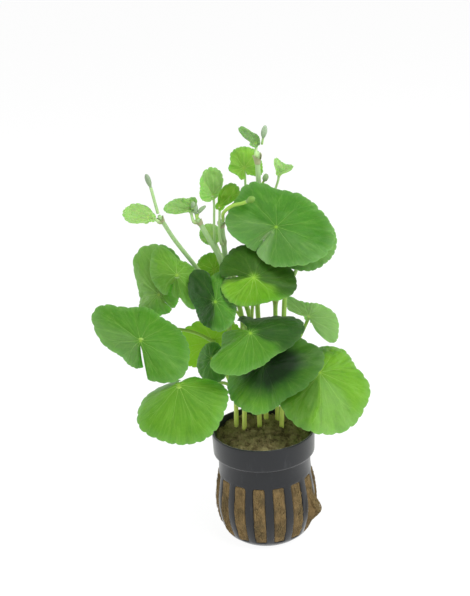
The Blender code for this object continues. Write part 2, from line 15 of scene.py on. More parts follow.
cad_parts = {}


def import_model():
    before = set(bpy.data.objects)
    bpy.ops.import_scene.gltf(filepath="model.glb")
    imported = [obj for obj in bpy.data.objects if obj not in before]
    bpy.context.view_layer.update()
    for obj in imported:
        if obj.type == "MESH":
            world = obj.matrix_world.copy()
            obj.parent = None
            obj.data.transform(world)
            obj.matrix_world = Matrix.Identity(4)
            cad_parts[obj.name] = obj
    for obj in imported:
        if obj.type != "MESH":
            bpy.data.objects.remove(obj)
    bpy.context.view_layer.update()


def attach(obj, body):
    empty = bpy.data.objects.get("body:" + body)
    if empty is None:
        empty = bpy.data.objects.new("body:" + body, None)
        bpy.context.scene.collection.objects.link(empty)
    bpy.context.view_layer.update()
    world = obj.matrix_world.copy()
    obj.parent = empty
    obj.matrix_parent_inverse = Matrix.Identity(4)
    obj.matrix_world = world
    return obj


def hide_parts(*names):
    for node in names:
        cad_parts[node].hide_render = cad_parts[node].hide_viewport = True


MM = 0.001
TURN = 2 * pi

# Pot
WALL = 1.1
FLOOR = 1.6
FLOOR_RADIUS = 15.4
FLOOR_CORNER = (0.4, 16.2)  # the height above the floor and the radius where the wall's bend begins
SLOTS = 15
SLOT_PITCH = TURN / SLOTS
SLOT_SHARE = 0.6
SLOT_BOTTOM = 4.5
SLOT_TOP = 33.5
SLOT_TURN = radians(-99)
SLOT_CORNER = 0.9
SLOT_EDGE = 0.35
SLOT_EDGE_MIDDLE = 0.105
SLOT_REFERENCE = 22.0  # the radius at which slot widths are measured
CELL_MARGIN = 1.4
END_STEPS = 8
SIDE_STEPS = 34
WELD = 0.00001
POT_SHARP = radians(60)
BODY_PROFILE = (
    (0.0, 16.5), (0.35, 17.3), (1.2, 18.3), (SLOT_BOTTOM, 20.4), (9.0, 22.1), (15.0, 23.4), (21.0, 23.6),
    (27.0, 23.0), (SLOT_TOP, 22.0), (38.0, 21.7), (43.0, 21.9),
)
BODY_CURVE_START = 2  # below this row the profile is straight between its rows
FOOT_PROFILE = ((0.0, 14.9), (0.12, 15.4), (0.5, 16.25), (1.0, 17.0), (1.7, 17.85), (2.4, 18.4))
NECK_HEIGHTS = (36.5, 38.5, 40.5, 42.2)
INNER_NECK_HEIGHTS = (42.2, 40.0, 37.5)
NECK_TOP = 43.0
COLLAR_PROFILE = (
    (43.3, 22.1), (43.45, 22.5), (43.5, 23.2), (43.62, 23.62), (43.9, 23.85), (44.6, 23.9), (48.0, 24.0),
    (52.0, 24.15), (53.9, 24.25), (54.25, 24.24), (54.45, 24.1), (54.5, 23.85), (54.5, 23.55),
    (54.4, 23.32), (54.1, 23.2), (50.0, 23.0), (45.8, 22.75), (45.0, 22.3), (44.2, 21.4), (43.3, 20.9),
)

# Rockwool
WOOL_FOOT = FLOOR + 0.35
WOOL_FOOT_RADIUS = 14.8
WOOL_SHOULDER = 47.5
WOOL_ROWS = 96
WOOL_TOP_ROWS = 34
WOOL_COLUMNS = SLOTS * 18
WOOL_TOP = 52.3
WOOL_CROWN = 1.2
WOOL_INSET = 0.8
WOOL_SWELL = 0.15
WOOL_SWELL_LIMIT = 0.45
WOOL_TOP_RADIUS = 22.3
WOOL_WIDENS = (44.6, 46.4)  # the heights between which the plug widens above the neck
WOOL_ROUGH = 0.6
WOOL_FINE = 0.16
WOOL_EDGE_DROP = 1.0
WOOL_EDGE_WIDTH = 1.6
TUFT_SLOT = 3
TUFT_DEPTH = 4.0
TUFT_HEIGHT = 17.0
TUFT_SPREAD = 5.0
TUFT_WIDTH = 0.42  # a share of the slots' pitch
STRAND_SEED = 11
TOP_STRANDS = 620
TOP_STRAND_LENGTH = (2.0, 6.5)
TOP_STRAND_RADIUS = (0.07, 0.15)
TOP_STRAND_LIFT = 0.9
TOP_STRAND_STEPS = 7
STRAND_REACH = 21.6
STRAND_LIMIT = 22.2
SLOT_STRANDS = 900
SLOT_STRAND_LENGTH = (2.0, 6.0)
SLOT_STRAND_RADIUS = (0.06, 0.13)
SLOT_STRAND_STEPS = 6
SLOT_STRAND_SLOPE = 0.5

# Stems, petioles, blades and buds
NODE_SWELL = 0.3
NODE_LENGTH = 2.2
RIDGE_HEIGHT = 0.16
RIDGE_LENGTH = 0.45
STEM_UNEVEN = 0.02
STEM_TIP = 0.85
STEM_ROOT = 2.5  # how deep a stem's foot stands in the wool
STEM_STEPS = 130
STEM_SIDES = 14
BUD_SHAPE = ((0.0, 0.45), (0.12, 0.72), (0.25, 0.9), (0.4, 1.0), (0.55, 0.98), (0.7, 0.86), (0.85, 0.6),
             (0.95, 0.36), (1.0, 0.12))
BUD_STALK_STEPS = 16
LAST_STATION = 160
LOBE_SPAN = 25
LOBE_ROUNDING = 0.16
VEINS = 10
BLADE_COLUMNS = 240
SMALL_BLADE_COLUMNS = 160
BLADE_SHARES = (0.03, 0.06, 0.09, 0.125, 0.165, 0.21, 0.26, 0.31, 0.36, 0.415, 0.47, 0.525, 0.58, 0.635,
                0.685, 0.735, 0.78, 0.825, 0.865, 0.9, 0.93, 0.955, 0.975, 0.99, 1.0)
BLADE_THICKNESS = 0.34
SCALLOP_DEPTH = 0.036
YOUNG_SCALLOP_DEPTH = 0.06
SCALLOPS_PER_VEIN = 3
VEIN_GROOVE = 0.16
FORK_GROOVE = 0.08
RUFFLE = 0.24
WAVE = 0.9
PUCKER = 0.8
SINUS_START = 2.2
CLOSED_NOTCH = 5.5  # a narrower notch is closed, its two lobes lying one over the other
CLOSED_SHARE = 0.55  # how far out from the hub a closed notch starts
LOBE_OVERLAP = 1.2
LOBE_STEP = 0.2
FLAP_FADE = 10.0
FLAP_WANDER = 9.0
HUB_BLEND = 0.35
DIMPLE_DEPTH = 0.35
DIMPLE_WIDTH = 1.5
SMALL_BLADE = 13.0
PETIOLE_STEPS = 26
PETIOLE_SIDES = 12
PETIOLE_RADIUS = 0.78
YOUNG_PETIOLE_RADIUS = 0.55
HUB_FLARE = (0.65, 0.9)  # how much a petiole thickens under its blade, and over what length
CLASP_FLARE = (0.35, 1.6)
PETIOLE_RISE = (0.6, 0.8)
PETIOLE_PULL = 0.35
CAD_BLADE = 0.6
CAD_GAP = 0.35
CAD_PETIOLE_RADIUS = 0.95
CAD_SMALL_PETIOLE_RADIUS = 0.65
LARGE_RADIUS = 14.0
SHEATH_COLUMNS = 28
SHEATH_ROWS = 8
SHEATH_GAP = 0.22
SHEATH_THICKNESS = 0.16

# Camera
CAMERA_PLACE = (0.0, -538.36, 319.40)
CAMERA_PITCH = 20.309
CAMERA_YAW = -1.064
CAMERA_ROLL = -3.0
CAMERA_LENS = 76.69
CAMERA_SENSOR = 36.0
CAMERA_REACH = (0.02, 20.0)

# Light, in metres and watts
FLOOR_GLOW = 0.93
FLOOR_GREY = (0.12, 0.12, 0.12, 1.0)
WHITE = (1.0, 1.0, 1.0, 1.0)
STUDIO_RADIUS = 5.0
WALL_HEIGHT = 1.8
WALL_SIDES = 48
SKY_STRENGTH = 0.25
LAMP_TARGET = (0.0, 0.0, 0.11)
LAMPS = (
    ("key", (0.42, -0.42, 0.85), 0.6, 7.3),
    ("overhead", (-0.08, -0.05, 0.95), 0.7, 2.9),
    ("front", (-0.25, -0.95, 0.30), 0.8, 1.5),
    ("left side", (-0.9, 0.32, 0.2), 0.6, 2.4),
    ("right side", (0.9, 0.32, 0.2), 0.6, 3.2),
)


class Stem(NamedTuple):
    name: str
    points: tuple
    radii: tuple
    nodes: tuple


class Look(NamedTuple):
    """How a blade looks. tone runs from dark green to yellow-green, and crinkle is its puckering.

    A flap runs from one angle off the tip to another and is painted shade, darker; where its strength is
    below zero it is painted light, paler. milk makes the whole blade paler, and deep paints shade on its
    middle, darker around the hub.
    """
    tone: float = 0.35
    crinkle: float = 0.4
    milk: float = 0.0
    deep: float = 0.0
    flaps: tuple = ()


class Leaf(NamedTuple):
    """A blade and its petiole, as in the part."""
    name: str
    hub: tuple
    facing: tuple
    tip: float
    radii: tuple
    lifts: tuple
    stem: str
    joins_at: float
    side: float | None = None
    launch: float = 12.0
    droop: float = 0.0
    notch: float = 4.0
    bend: float = 1.6
    young: bool = False
    look: Look = Look()


class Bud(NamedTuple):
    """fresh is how leafy green a bud is, milk how pale, and girth its thickness as a share of the part's."""
    name: str
    points: tuple
    stalk: float
    length: float
    radius: float
    fresh: float
    milk: float
    girth: float


STEMS = (
    Stem("stem_left", ((-12.8, 8, 50), (-12.3, 8, 66), (-12.8, 6.5, 87), (-14, 4.5, 107), (-19, 5, 121.6),
                       (-27.3, 5.5, 134.4), (-35.8, 2, 148.7), (-41.4, -2.4, 161.2)),
         (1.1, 0.95), (73, 90, 106, 121)),
    Stem("stem_middle_left", ((-9, 4, 50), (-8, 4, 69), (-7, 3, 92), (-7.2, 3, 108), (-10, 3, 122),
                              (-14.6, 2, 136), (-19.8, 0, 148), (-24.7, -2.3, 159)),
         (1.1, 1.15), (104, 118)),
    Stem("stem_middle", ((-1.5, 7, 50), (-1.8, 7.5, 65), (-3, 7, 90), (-4, 7, 109), (-9, 7.5, 124),
                         (-13, 6, 136), (-14, 2.5, 148), (-14.2, -2, 157.5)),
         (1.15, 1.2), (84, 104, 130, 146)),
    Stem("stem_top", ((1.8, 13, 50), (1.2, 13, 74), (0.4, 13, 95), (0, 12.5, 110), (0.5, 12.5, 125),
                      (1.6, 12, 144.5), (2.8, 11, 163), (3, 9.5, 172), (2.8, 8, 185.4)),
         (1.15, 1.15), (76, 118, 148, 158)),
    Stem("stem_right_back", ((7, 13, 50), (7.6, 13, 73), (7.9, 12, 94), (8.2, 11, 110), (8.8, 9, 121),
                             (9.3, 8, 136), (9.5, 7.5, 141)),
         (1.05, 1.05), (64, 114, 134)),
    Stem("stem_right",
         ((8.6, 3.8, 50), (9.6, 3, 67), (11, 2.5, 92), (12, 2.5, 112), (13, 3.5, 121.5), (14.5, 5, 131)),
         (1.1, 1.1), (72, 88, 128)),
)

LEAVES = (
    # Its paler flaps are painted highlight, the sheen on its crinkled lobes beside the notch
    Leaf("leaf_top", (9.6, -17, 158.2), (-85, 38), 34,
         (12, 14.5, 17.5, 22.5, 25.5, 24.5, 24, 23.5, 22.5, 27, 24, 22, 13),
         (-10, -7, -3, -3, -6, -4, -1, -5, -10), "stem_right_back", 134, launch=8, notch=1.5,
         look=Look(0.12, 0.6, flaps=((-200, -140, -0.3), (-140, -60, -0.06), (120, 200, -0.14)))),
    Leaf("leaf_behind_top", (20.5, 3, 147.5), (-75, 38), 27, (14, 16, 17, 17, 17, 17, 17, 16, 14),
         (-5, -4, -3, -2, -2, -2, -3, -4, -5), "stem_right", 128, notch=16, look=Look(0.2, milk=0.08)),
    # Its flaps are painted shade: the shadow that leaf_top casts over its back half
    Leaf("leaf_upper_front", (-1, -25, 138.4), (-88, 42), -18,
         (14.5, 13.5, 11, 8, 7.5, 10.5, 18, 18, 17, 16, 18, 19.5, 18),
         (-6, -8, -11, -10, -4, -4, -3, -4, -7), "stem_middle", 104, notch=1.5,
         look=Look(0.7, flaps=((-8, 200, 0.62), (-200, -162, 0.5)))),
    # Its flap is painted shade: the shadow that leaf_upper_front casts over its upper half
    Leaf("leaf_front", (-3.5, -34, 116.5), (-80, 42), -56,
         (13.5, 11.5, 13, 22.5, 17.5, 12.5, 11.5, 13, 19.5, 26.5, 20, 15, 16.5),
         (-14, -13, -4, -10, -12, -7, -9, -14, -14), "stem_middle_left", 104, notch=14,
         look=Look(0.24, flaps=((40, 200, 0.66),))),
    # deep and its flaps are painted shade: the shadow that leaf_front casts over its middle and upper half
    Leaf("leaf_low_front", (1.5, -24, 97.5), (-75, 45), -40,
         (13.5, 13.5, 16.5, 21, 21, 18, 16.5, 22.5, 28, 23.5, 20, 16, 14),
         (-12, -14, -6, -9, -12, -1, -3, -13, -14), "stem_middle", 84,
         look=Look(0.36, deep=0.75, flaps=((95, 200, 0.42), (-40, 95, 0.38), (-200, -40, 0.12)))),
    # Its first flap is painted shade, the shadow of leaf_low_front on its left; the paler one is painted
    # light on its lower part
    Leaf("leaf_low_right", (27, -10, 86), (-68, 50), -30,
         (14, 16, 22, 26.5, 28, 28.5, 26, 25.5, 21, 22, 19, 15, 13),
         (-14, -9, -4, -3, -1, -5, -10, -15, -14), "stem_right", 72,
         look=Look(0.55, 0.5, flaps=((-200, -62, 0.28), (-62, -10, -0.14)))),
    Leaf("leaf_far_right", (23.5, 8, 106.5), (-70, 35), 90,
         (4, 16, 15, 13.5, 11, 8, 7, 8.5, 14, 10.5, 4, 3, 3), (0, -3, -2, -1, 0, 1, 1, 1, 1, 2, 2, 1, 0),
         "stem_right", 88, bend=2, launch=6, notch=12, look=Look(0.34, milk=0.26)),
    Leaf("leaf_big_left", (-51.5, -27, 112.5), (-100, 48), 84,
         (19.5, 23.5, 21, 18.5, 16.5, 15.5, 18.5, 19.5, 28, 20.5, 12, 10.5, 9.8),
         (-5, -7, -11, -10, -7, -3, -6, -10, -12), "stem_left", 90, side=170, launch=30, droop=-35, notch=9,
         look=Look(0.2, 0.35, flaps=((58, 156, -0.14),))),
    Leaf("leaf_low_left", (-35.5, -38, 95), (-98, 55), -90,
         (8, 9, 13, 20, 24.5, 24.5, 25, 25, 22, 20, 13.5, 9.5, 9),
         (-20, -19, -12, -2, -4, -5, -9, -19, -20), "stem_left", 73, droop=45, notch=16, look=Look(0.42)),
    # Its tone of 1.0 paints the bright yellow-green of light shining through the blade from behind: painted
    # light
    Leaf("leaf_lit_behind", (-22, 19, 92.2), (105, 60), -150, (14, 17.5, 19, 18, 19, 20, 19, 15.5, 13),
         (-2, -2, -1, -1, -1, -1, -1, -2, -2), "stem_left", 73, young=True, look=Look(1.0)),
    Leaf("leaf_small_dark", (-22, -9, 94.8), (-120, 72), -135, (7, 8, 9, 10.5, 11.5, 11, 9, 7, 7),
         (-4, -4, -4, -3, -2, -2, -3, -4, -4), "stem_left", 80, launch=5, look=Look(0.1)),
    # Its flap is painted shade on the left half, which is folded away from the light
    Leaf("leaf_folded_left", (-18, -26.5, 128.7), (-85, 55), -80,
         (19, 14, 9, 8, 9, 10.5, 13, 12, 10, 9.5, 9.5, 11, 16), (-8, -12, -14, -9, -2, -3, -7, -8, -6),
         "stem_middle_left", 118, look=Look(0.14, 0.8, flaps=((-200, -18, 0.72),))),
    Leaf("leaf_upper_left", (-34.8, -11, 136.3), (-95, 50), 37,
         (6.5, 6, 12.5, 14.5, 11, 9.5, 9, 9, 10, 18, 15, 12.5, 10),
         (-14, -14, -12.5, -10, -8, -6, -4, -5, -9), "stem_left", 106, notch=3,
         look=Look(0.4, 0.5, milk=0.04)),
    Leaf("leaf_outer_left", (-44.2, -3, 124.6), (-110, 55), 110,
         (5.5, 5, 5.5, 9, 20, 24.5, 25, 16, 12.5, 13.5, 10.5, 7, 6.5),
         (-10, -12, -9, -2, -3, -8, -9, -10, -10), "stem_left", 121, side=150, launch=20,
         look=Look(0.42, 0.5, milk=0.1)),
    Leaf("leaf_crown", (-3.2, 16, 176.2), (-95, 60), 100,
         (5, 9, 8.5, 8.5, 9.5, 9.5, 9.5, 9, 6.5, 7, 5.5, 5, 6.5), (3, 2, 1, 1, 1, 1, 1, 2, 3), "stem_top",
         148, young=True, notch=6, look=Look(0.85, 0.6, milk=0.1)),
    Leaf("leaf_young_tall", (-17.5, 0, 168.7), (-110, 75), 85, (2.5, 3, 5, 10.5, 12, 6, 4, 3.5, 3),
         (2, 2, 2, 1, 0, 3, 5, 5, 4), "stem_middle", 130, side=200, launch=9, droop=50, young=True,
         look=Look(0.55, 0.6, milk=0.28)),
    Leaf("leaf_young_bright", (-14.4, -8.5, 165.9), (-85, 72), 62,
         (2, 2, 2, 2, 3, 10.5, 11.5, 7, 2.5, 2, 2, 2, 2), (1, 3, 4, 2, 0, 2, 3, 2, 1), "stem_middle", 146,
         side=-110, launch=9, droop=50, young=True,
         look=Look(0.85, 1.1, milk=0.05, flaps=((-60, 60, 0.3),))),
    Leaf("leaf_shoot", (-27.4, -3.2, 163.2), (-100, 50), 140, (2, 3, 5, 5.5, 6.2, 9.8, 11.7, 5, 2.2, 2, 2),
         (4, 3, 3, 1, 0, 2, 4, 4, 4), "stem_middle_left", 157.8, launch=1.5, young=True,
         look=Look(0.45, 0.9, milk=0.3)),
    Leaf("leaf_far_left", (-46, -6, 162), (-100, 45), 160,
         (3, 3.4, 3.9, 6.6, 10.2, 11.8, 8.5, 4.8, 3.4, 3, 3), (-2, -2, -2, -1, 0, 1, 1, 0, -1), "stem_left",
         158.5, launch=1.5, young=True, look=Look(0.75, 0.6, milk=0.4)),
    Leaf("leaf_fan", (12.2, 9, 174.7), (-90, 70), 75,
         (1.5, 1.5, 1.5, 2.5, 7, 5.2, 5.4, 7, 2.5, 1.5, 1.5, 1.5, 1.5), (3, 3, 2, 1, 0, 1, 2, 3, 3),
         "stem_top", 158, launch=5, droop=50, young=True, look=Look(0.6, milk=0.45)),
    Leaf("leaf_small_behind", (-19, 15, 146.5), (-90, 60), -160, (4, 4.5, 5.5, 6, 6, 5.5, 5, 4.5, 4),
         (-1,) * 9, "stem_middle", 134, young=True, look=Look(0.7, milk=0.3)),
    Leaf("leaf_pale_behind", (-19, 12, 130), (-95, 50), 95, (9, 10, 10, 9.5, 9.5, 9.5, 9, 9, 9), (-2,) * 9,
         "stem_middle", 104, young=True, look=Look(0.85)),
    Leaf("leaf_tip", (2.6, 7, 189.3), (-100, 70), 128,
         (2, 2.1, 2.3, 3, 4, 5.5, 10.5, 3.3, 2.9, 2.3, 2, 2, 2), (1, 1, 1, 0, 0, 0, 1, 1, 1), "stem_top",
         184, launch=1.5, young=True, look=Look(0.12, 0.15, milk=0.3)),
    Leaf("leaf_back_upper", (8, 36, 131), (75, 38), 100, (15, 16, 17, 17, 16.5, 17, 17, 16, 15),
         (-5, -4, -3, -2, -2, -2, -3, -4, -5), "stem_top", 118),
    Leaf("leaf_back_low", (5, 40, 74), (85, 42), 60, (18, 20, 20, 21, 20, 21, 20, 19, 18),
         (-7, -5, -3, -3, -2, -3, -4, -5, -6), "stem_right_back", 64),
    Leaf("leaf_back_right", (31, 27, 66), (40, 40), 20, (15, 17, 17, 18, 17, 17, 17, 16, 15),
         (-6, -4, -3, -2, -2, -3, -4, -5, -6), "stem_right_back", 64),
    Leaf("leaf_back_left", (-20, 33, 110), (115, 42), 140, (11, 12, 12.5, 12.5, 12, 12.5, 12, 12, 11),
         (-4, -3, -2, -2, -1, -2, -2, -3, -4), "stem_top", 76),
)

BUDS = (
    Bud("bud_left", ((-41.8, -2.8, 162.4), (-42.9, -3.4, 168.4), (-44.1, -4, 174.8), (-45.7, -4, 180.7)),
        0.7, 6.5, 1.3, 0.0, 0.2, 0.9),
    Bud("bud_middle", ((-13.2, -5, 158.6), (-12.8, -15.6, 164.9), (-8.8, -18.2, 168.7), (-4, -20.6, 170.4),
                       (0.9, -23.2, 173.2)),
        0.75, 5.5, 1.6, 1.0, 0.0, 0.85),
    Bud("bud_top", ((5.2, 8, 188.5), (5.7, 7.4, 191), (6.3, 7, 194), (7, 7, 197.1)),
        0.5, 5.5, 1.45, 0.2, 0.35, 0.95),
    Bud("bud_small", ((4.7, 8, 170.9), (5.3, 7.6, 171.8), (6.1, 7.2, 173.4), (6.6, 7, 175.4)),
        0.5, 3.2, 1.5, 0.5, 0.1, 0.9),
)

# Folded young leaves at the tip of a stem, too small to be pieces of the part
SPROUTS = (
    Bud("sprout_upright", ((-24.9, -2.4, 158.6), (-25.2, -2.8, 161), (-25.6, -3.1, 164), (-26, -3.4, 167.2)),
        0.55, 5.5, 1.5, 0.4, 0.3, 1.0),
    Bud("sprout_side", ((-24.7, -2.3, 158.8), (-24.3, -2.5, 161), (-23, -2.7, 163), (-20.6, -2.8, 164.8)),
        0.5, 4.6, 1.0, 0.5, 0.3, 1.0),
)

# Papery sheaths at nodes: stem, height, length, how far the rim flares, and a number that varies its shape
SHEATHS = (
    ("stem_top", 180.5, 4.6, 0.8, 0.4), ("stem_left", 159.0, 2.6, 0.5, 1.3),
    ("stem_middle_left", 157.0, 2.4, 0.4, 2.1), ("stem_middle", 155.0, 2.6, 0.5, 3.0),
)


# Small helpers

def smooth(value, low, high):
    share = min(max((value - low) / (high - low), 0), 1)
    return share * share * (3 - 2 * share)


def curve_between(first, second, slope_first, slope_second, share):
    """A smooth curve from one value to the next, with the slopes that it has there."""
    return (first * (1 + 2 * share) * (1 - share) ** 2 + slope_first * share * (1 - share) ** 2
            + second * share ** 2 * (3 - 2 * share) + slope_second * share ** 2 * (share - 1))


def read_curve(values, position):
    """A smooth value between equally spaced ones, with position from 0 at the first to 1 at the last."""
    span = max(0, min(position, 1)) * (len(values) - 1)
    low = min(int(span), len(values) - 2)
    first, second = values[low], values[low + 1]
    before = values[low - 1] if low else first
    after = values[low + 2] if low + 2 < len(values) else second
    return curve_between(first, second, (second - before) / 2, (after - first) / 2, span - low)


def curve_point(points, position):
    return Vector([read_curve([point[axis] for point in points], position) for axis in range(3)])


def curve_at_height(points, height):
    low, high = 0, 1
    while high - low > 1e-5:
        middle = (low + high) / 2
        if curve_point(points, middle).z < height:
            low = middle
        else:
            high = middle
    return low


def bezier(start, leave, arrive, end, share):
    rest = 1 - share
    return (start * rest ** 3 + leave * 3 * rest ** 2 * share + arrive * 3 * rest * share ** 2
            + end * share ** 3)


def bell(distance, width):
    return exp(-(distance / width) ** 2)


def grain(x, y, z):
    """Smooth noise from about -1 to 1."""
    return noise.noise(Vector((x, y, z)))


def around(radius, angle, height):
    return (radius * cos(angle), radius * sin(angle), height)


def ring_faces(first, second):
    count = len(first)
    return [(first[i], first[(i + 1) % count], second[(i + 1) % count], second[i]) for i in range(count)]


def join_rings(faces, rings):
    for low, high in zip(rings, rings[1:]):
        faces.extend(ring_faces(low, high))


def add_ring(points, ring, start=0):
    """Add a ring's points, and give their numbers, which begin at start."""
    points.extend(ring)
    return list(range(start + len(points) - len(ring), start + len(points)))


def tube(path, radii, sides, start=0):
    """A closed tube along a path, as points and faces whose numbers begin at start."""
    points, faces, rings = [], [], []
    side = None
    for index, centre in enumerate(path):
        along = (path[min(index + 1, len(path) - 1)] - path[max(index - 1, 0)]).normalized()
        if side is None:
            side = along.orthogonal().normalized()
        side = (side - along * side.dot(along)).normalized()
        across = along.cross(side)
        turns = [TURN * step / sides for step in range(sides)]
        ring = [centre + (side * cos(turn) + across * sin(turn)) * radii[index] for turn in turns]
        rings.append(add_ring(points, ring, start))
    join_rings(faces, rings)
    faces.append(tuple(reversed(rings[0])))
    faces.append(tuple(rings[-1]))
    return points, faces


def add_object(name, data):
    item = bpy.data.objects.new(name, data)
    bpy.context.scene.collection.objects.link(item)
    return item


def add_piece(name, points, faces, materials, nodes=(), attributes=None, indices=None):
    """A dressed piece from points in millimetres. It rides on the plant's one body."""
    mesh = bpy.data.meshes.new(name)
    mesh.from_pydata([tuple(c * MM for c in point) for point in points], [], faces)
    mesh.validate()
    for item in materials:
        mesh.materials.append(item)
    if indices is not None:
        mesh.polygons.foreach_set("material_index", indices)
    mesh.shade_smooth()
    for key, values in (attributes or {}).items():
        layer = mesh.attributes.new(key, "FLOAT_VECTOR", "POINT")
        layer.data.foreach_set("vector", np.asarray(values, np.float32).ravel())
    mesh.update()
    piece = add_object(name, mesh)
    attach(piece, "root")
    if nodes:
        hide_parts(*nodes)
    return piece


# Materials

def tint(red, green, blue):
    return tuple((c / 255 / 12.92 if c / 255 <= 0.04045 else ((c / 255 + 0.055) / 1.055) ** 2.4)
                 for c in (red, green, blue)) + (1,)


class Graph:
    """One material's nodes, made with short calls. A value is a socket, a number or a colour."""

    def __init__(self, name):
        self.material = bpy.data.materials.new(name)
        self.material.use_nodes = True
        self.tree = self.material.node_tree

    def feed(self, node, inputs):
        for key, value in inputs.items():
            if isinstance(value, bpy.types.NodeSocket):
                self.tree.links.new(value, node.inputs[key])
            else:
                node.inputs[key].default_value = value

    def finish(self, inputs):
        """The material, with these values set on its shader."""
        self.feed(self.tree.nodes["Principled BSDF"], inputs)
        return self.material

    def add(self, kind, inputs, **settings):
        node = self.tree.nodes.new(kind)
        for key, value in settings.items():
            setattr(node, key, value)
        self.feed(node, inputs)
        return node.outputs

    def math(self, operation, first, second=0, third=None):
        inputs = {0: first, 1: second}
        if third is not None:
            inputs[2] = third
        return self.add("ShaderNodeMath", inputs, operation=operation)[0]

    def times(self, first, second):
        return self.math("MULTIPLY", first, second)

    def plus(self, first, second):
        return self.math("ADD", first, second)

    def minus(self, first, second):
        return self.math("SUBTRACT", first, second)

    def larger(self, first, second):
        return self.math("MAXIMUM", first, second)

    def span(self, value, low, high, out_low=0, out_high=1):
        return self.add("ShaderNodeMapRange", {"Value": value, "From Min": low, "From Max": high,
                                               "To Min": out_low, "To Max": out_high},
                        interpolation_type="SMOOTHSTEP")[0]

    def mix(self, share, *colours):
        """A mix of two colours, each a socket or given as it looks on a screen, from 0 to 255."""
        first, second = (tint(*colour) if isinstance(colour, tuple) else colour for colour in colours)
        return self.add("ShaderNodeMix", {0: share, 6: first, 7: second}, data_type="RGBA")[2]

    def parts(self, vector):
        return self.add("ShaderNodeSeparateXYZ", {0: vector})

    def attribute(self, name):
        return self.parts(self.add("ShaderNodeAttribute", {}, attribute_name=name)["Vector"])

    def place(self, scale=(1, 1, 1)):
        """The surface's own place, stretched."""
        source = self.add("ShaderNodeTexCoord", {})["Object"]
        return self.add("ShaderNodeMapping", {"Vector": source, "Scale": scale})[0]

    def noise(self, vector, scale, detail=3.0, roughness=0.55, distortion=0):
        return self.add("ShaderNodeTexNoise", {"Vector": vector, "Scale": scale, "Detail": detail,
                                               "Roughness": roughness, "Distortion": distortion})[0]

    def bump(self, height, strength, distance, normal=None):
        inputs = {"Height": height, "Strength": strength, "Distance": distance}
        if normal is not None:
            inputs["Normal"] = normal
        return self.add("ShaderNodeBump", inputs)[0]


def leaf_material():
    """A waxy blade. Its veins are read from the blade's own coordinates: across the veins, and hub to rim."""
    g = Graph("leaf")
    across, share, pitch = g.attribute("blade")
    under, tone, shade = g.attribute("skin")
    # Painted shade: where the shade is above zero the blade turns a deeper, darker green, standing in for the
    # shadow of leaves above
    dark = g.larger(shade, 0)
    tone = g.times(tone, g.minus(1, dark))
    place = g.place()

    bend = g.times(g.minus(g.noise(place, 260.0, 2.0), 0.5), 0.20)
    off = g.math("ABSOLUTE", g.minus(g.math("FRACT", g.plus(across, bend)), 0.5))
    arc = g.times(share, pitch)
    main_width = g.span(share, 0, 0.9, 0.17, 0.09)
    main = g.span(g.math("DIVIDE", g.times(off, arc), main_width), 0.3, 1, 1, 0)
    main = g.times(main, g.span(share, 0.1, 0.95, 1.3, 0.3))
    fork_at = g.span(share, 0.42, 1, 0, 0.27)
    fork_off = g.times(g.math("ABSOLUTE", g.minus(off, fork_at)), arc)
    fork = g.times(g.span(fork_off, 0.06, 0.22, 0.4, 0), g.span(share, 0.4, 0.5))
    net = g.add("ShaderNodeTexVoronoi", {"Vector": place, "Scale": 520.0, "Randomness": 0.9},
                feature="DISTANCE_TO_EDGE")[0]
    fine = g.span(net, 0.02, 0.10, 0.10, 0)
    vein = g.larger(g.larger(main, fork), fine)

    patches = g.noise(place, 70.0, 3.0, 0.6)
    speckle = g.noise(place, 900.0, 2.0, 0.5)
    old = g.mix(patches, (40, 96, 24), (60, 122, 38))
    fresh = g.mix(patches, (108, 168, 22), (150, 200, 48))
    body = g.mix(tone, old, fresh)
    body = g.mix(g.times(speckle, 0.16), body, (30, 86, 12))
    fan = g.add("ShaderNodeCombineXYZ", {0: across, 1: g.times(share, 0.3), 2: tone})[0]
    streak = g.noise(fan, 8.0, 4.0, 0.65)
    # Darker and paler streaks fan out from the hub: the darker ones are the blade's own tone, the paler ones
    # partly that and partly painted highlight
    body = g.mix(g.span(streak, 0.45, 0.72, 0, 0.28), body, (34, 92, 14))
    body = g.mix(g.span(streak, 0.32, 0.5, 0.12, 0), body, (150, 190, 96))
    vein_colour = g.mix(tone, (110, 156, 66), (176, 206, 100))
    body = g.mix(g.times(vein, 0.55), body, vein_colour)
    hub = g.span(arc, 0.16, 0.66, 0.75, 0)
    body = g.mix(hub, body, (140, 182, 52))
    # A thin paler edge, the blade's own, and over the outer fifth a painted haze of light along the rim
    rim = g.plus(g.span(share, 0.80, 1, 0, 0.22), g.span(share, 0.965, 1, 0, 0.22))
    body = g.mix(rim, body, (128, 170, 104))
    pale = g.mix(g.times(vein, 0.5), g.mix(tone, (98, 150, 76), (136, 192, 34)), (172, 206, 96))
    body = g.mix(under, body, pale)
    # Painted shade darkens the blade; a shade below zero is painted light and paleness, a pale wash
    body = g.mix(dark, body, (8, 38, 0))
    body = g.mix(g.larger(g.times(shade, -1), 0), body, (178, 208, 150))

    rough = g.math("MULTIPLY_ADD", speckle, 0.2, 0.34)
    cells = g.noise(place, 330.0, 2.0, 0.5)
    groove = g.bump(vein, 0.4, -0.00018, g.bump(streak, 0.5, 0.0006, g.bump(cells, 0.5, 0.0006)))
    skin = g.bump(g.noise(place, 1400.0, 3.0, 0.6), 0.18, 0.0001, groove)
    return g.finish({
        "Base Color": body, "Roughness": g.plus(rough, g.times(under, 0.18)), "Specular IOR Level": 0.14,
        "Subsurface Weight": 0.6, "Subsurface Radius": (0.45, 1, 0.2), "Subsurface Scale": 0.0006,
        "Normal": skin})


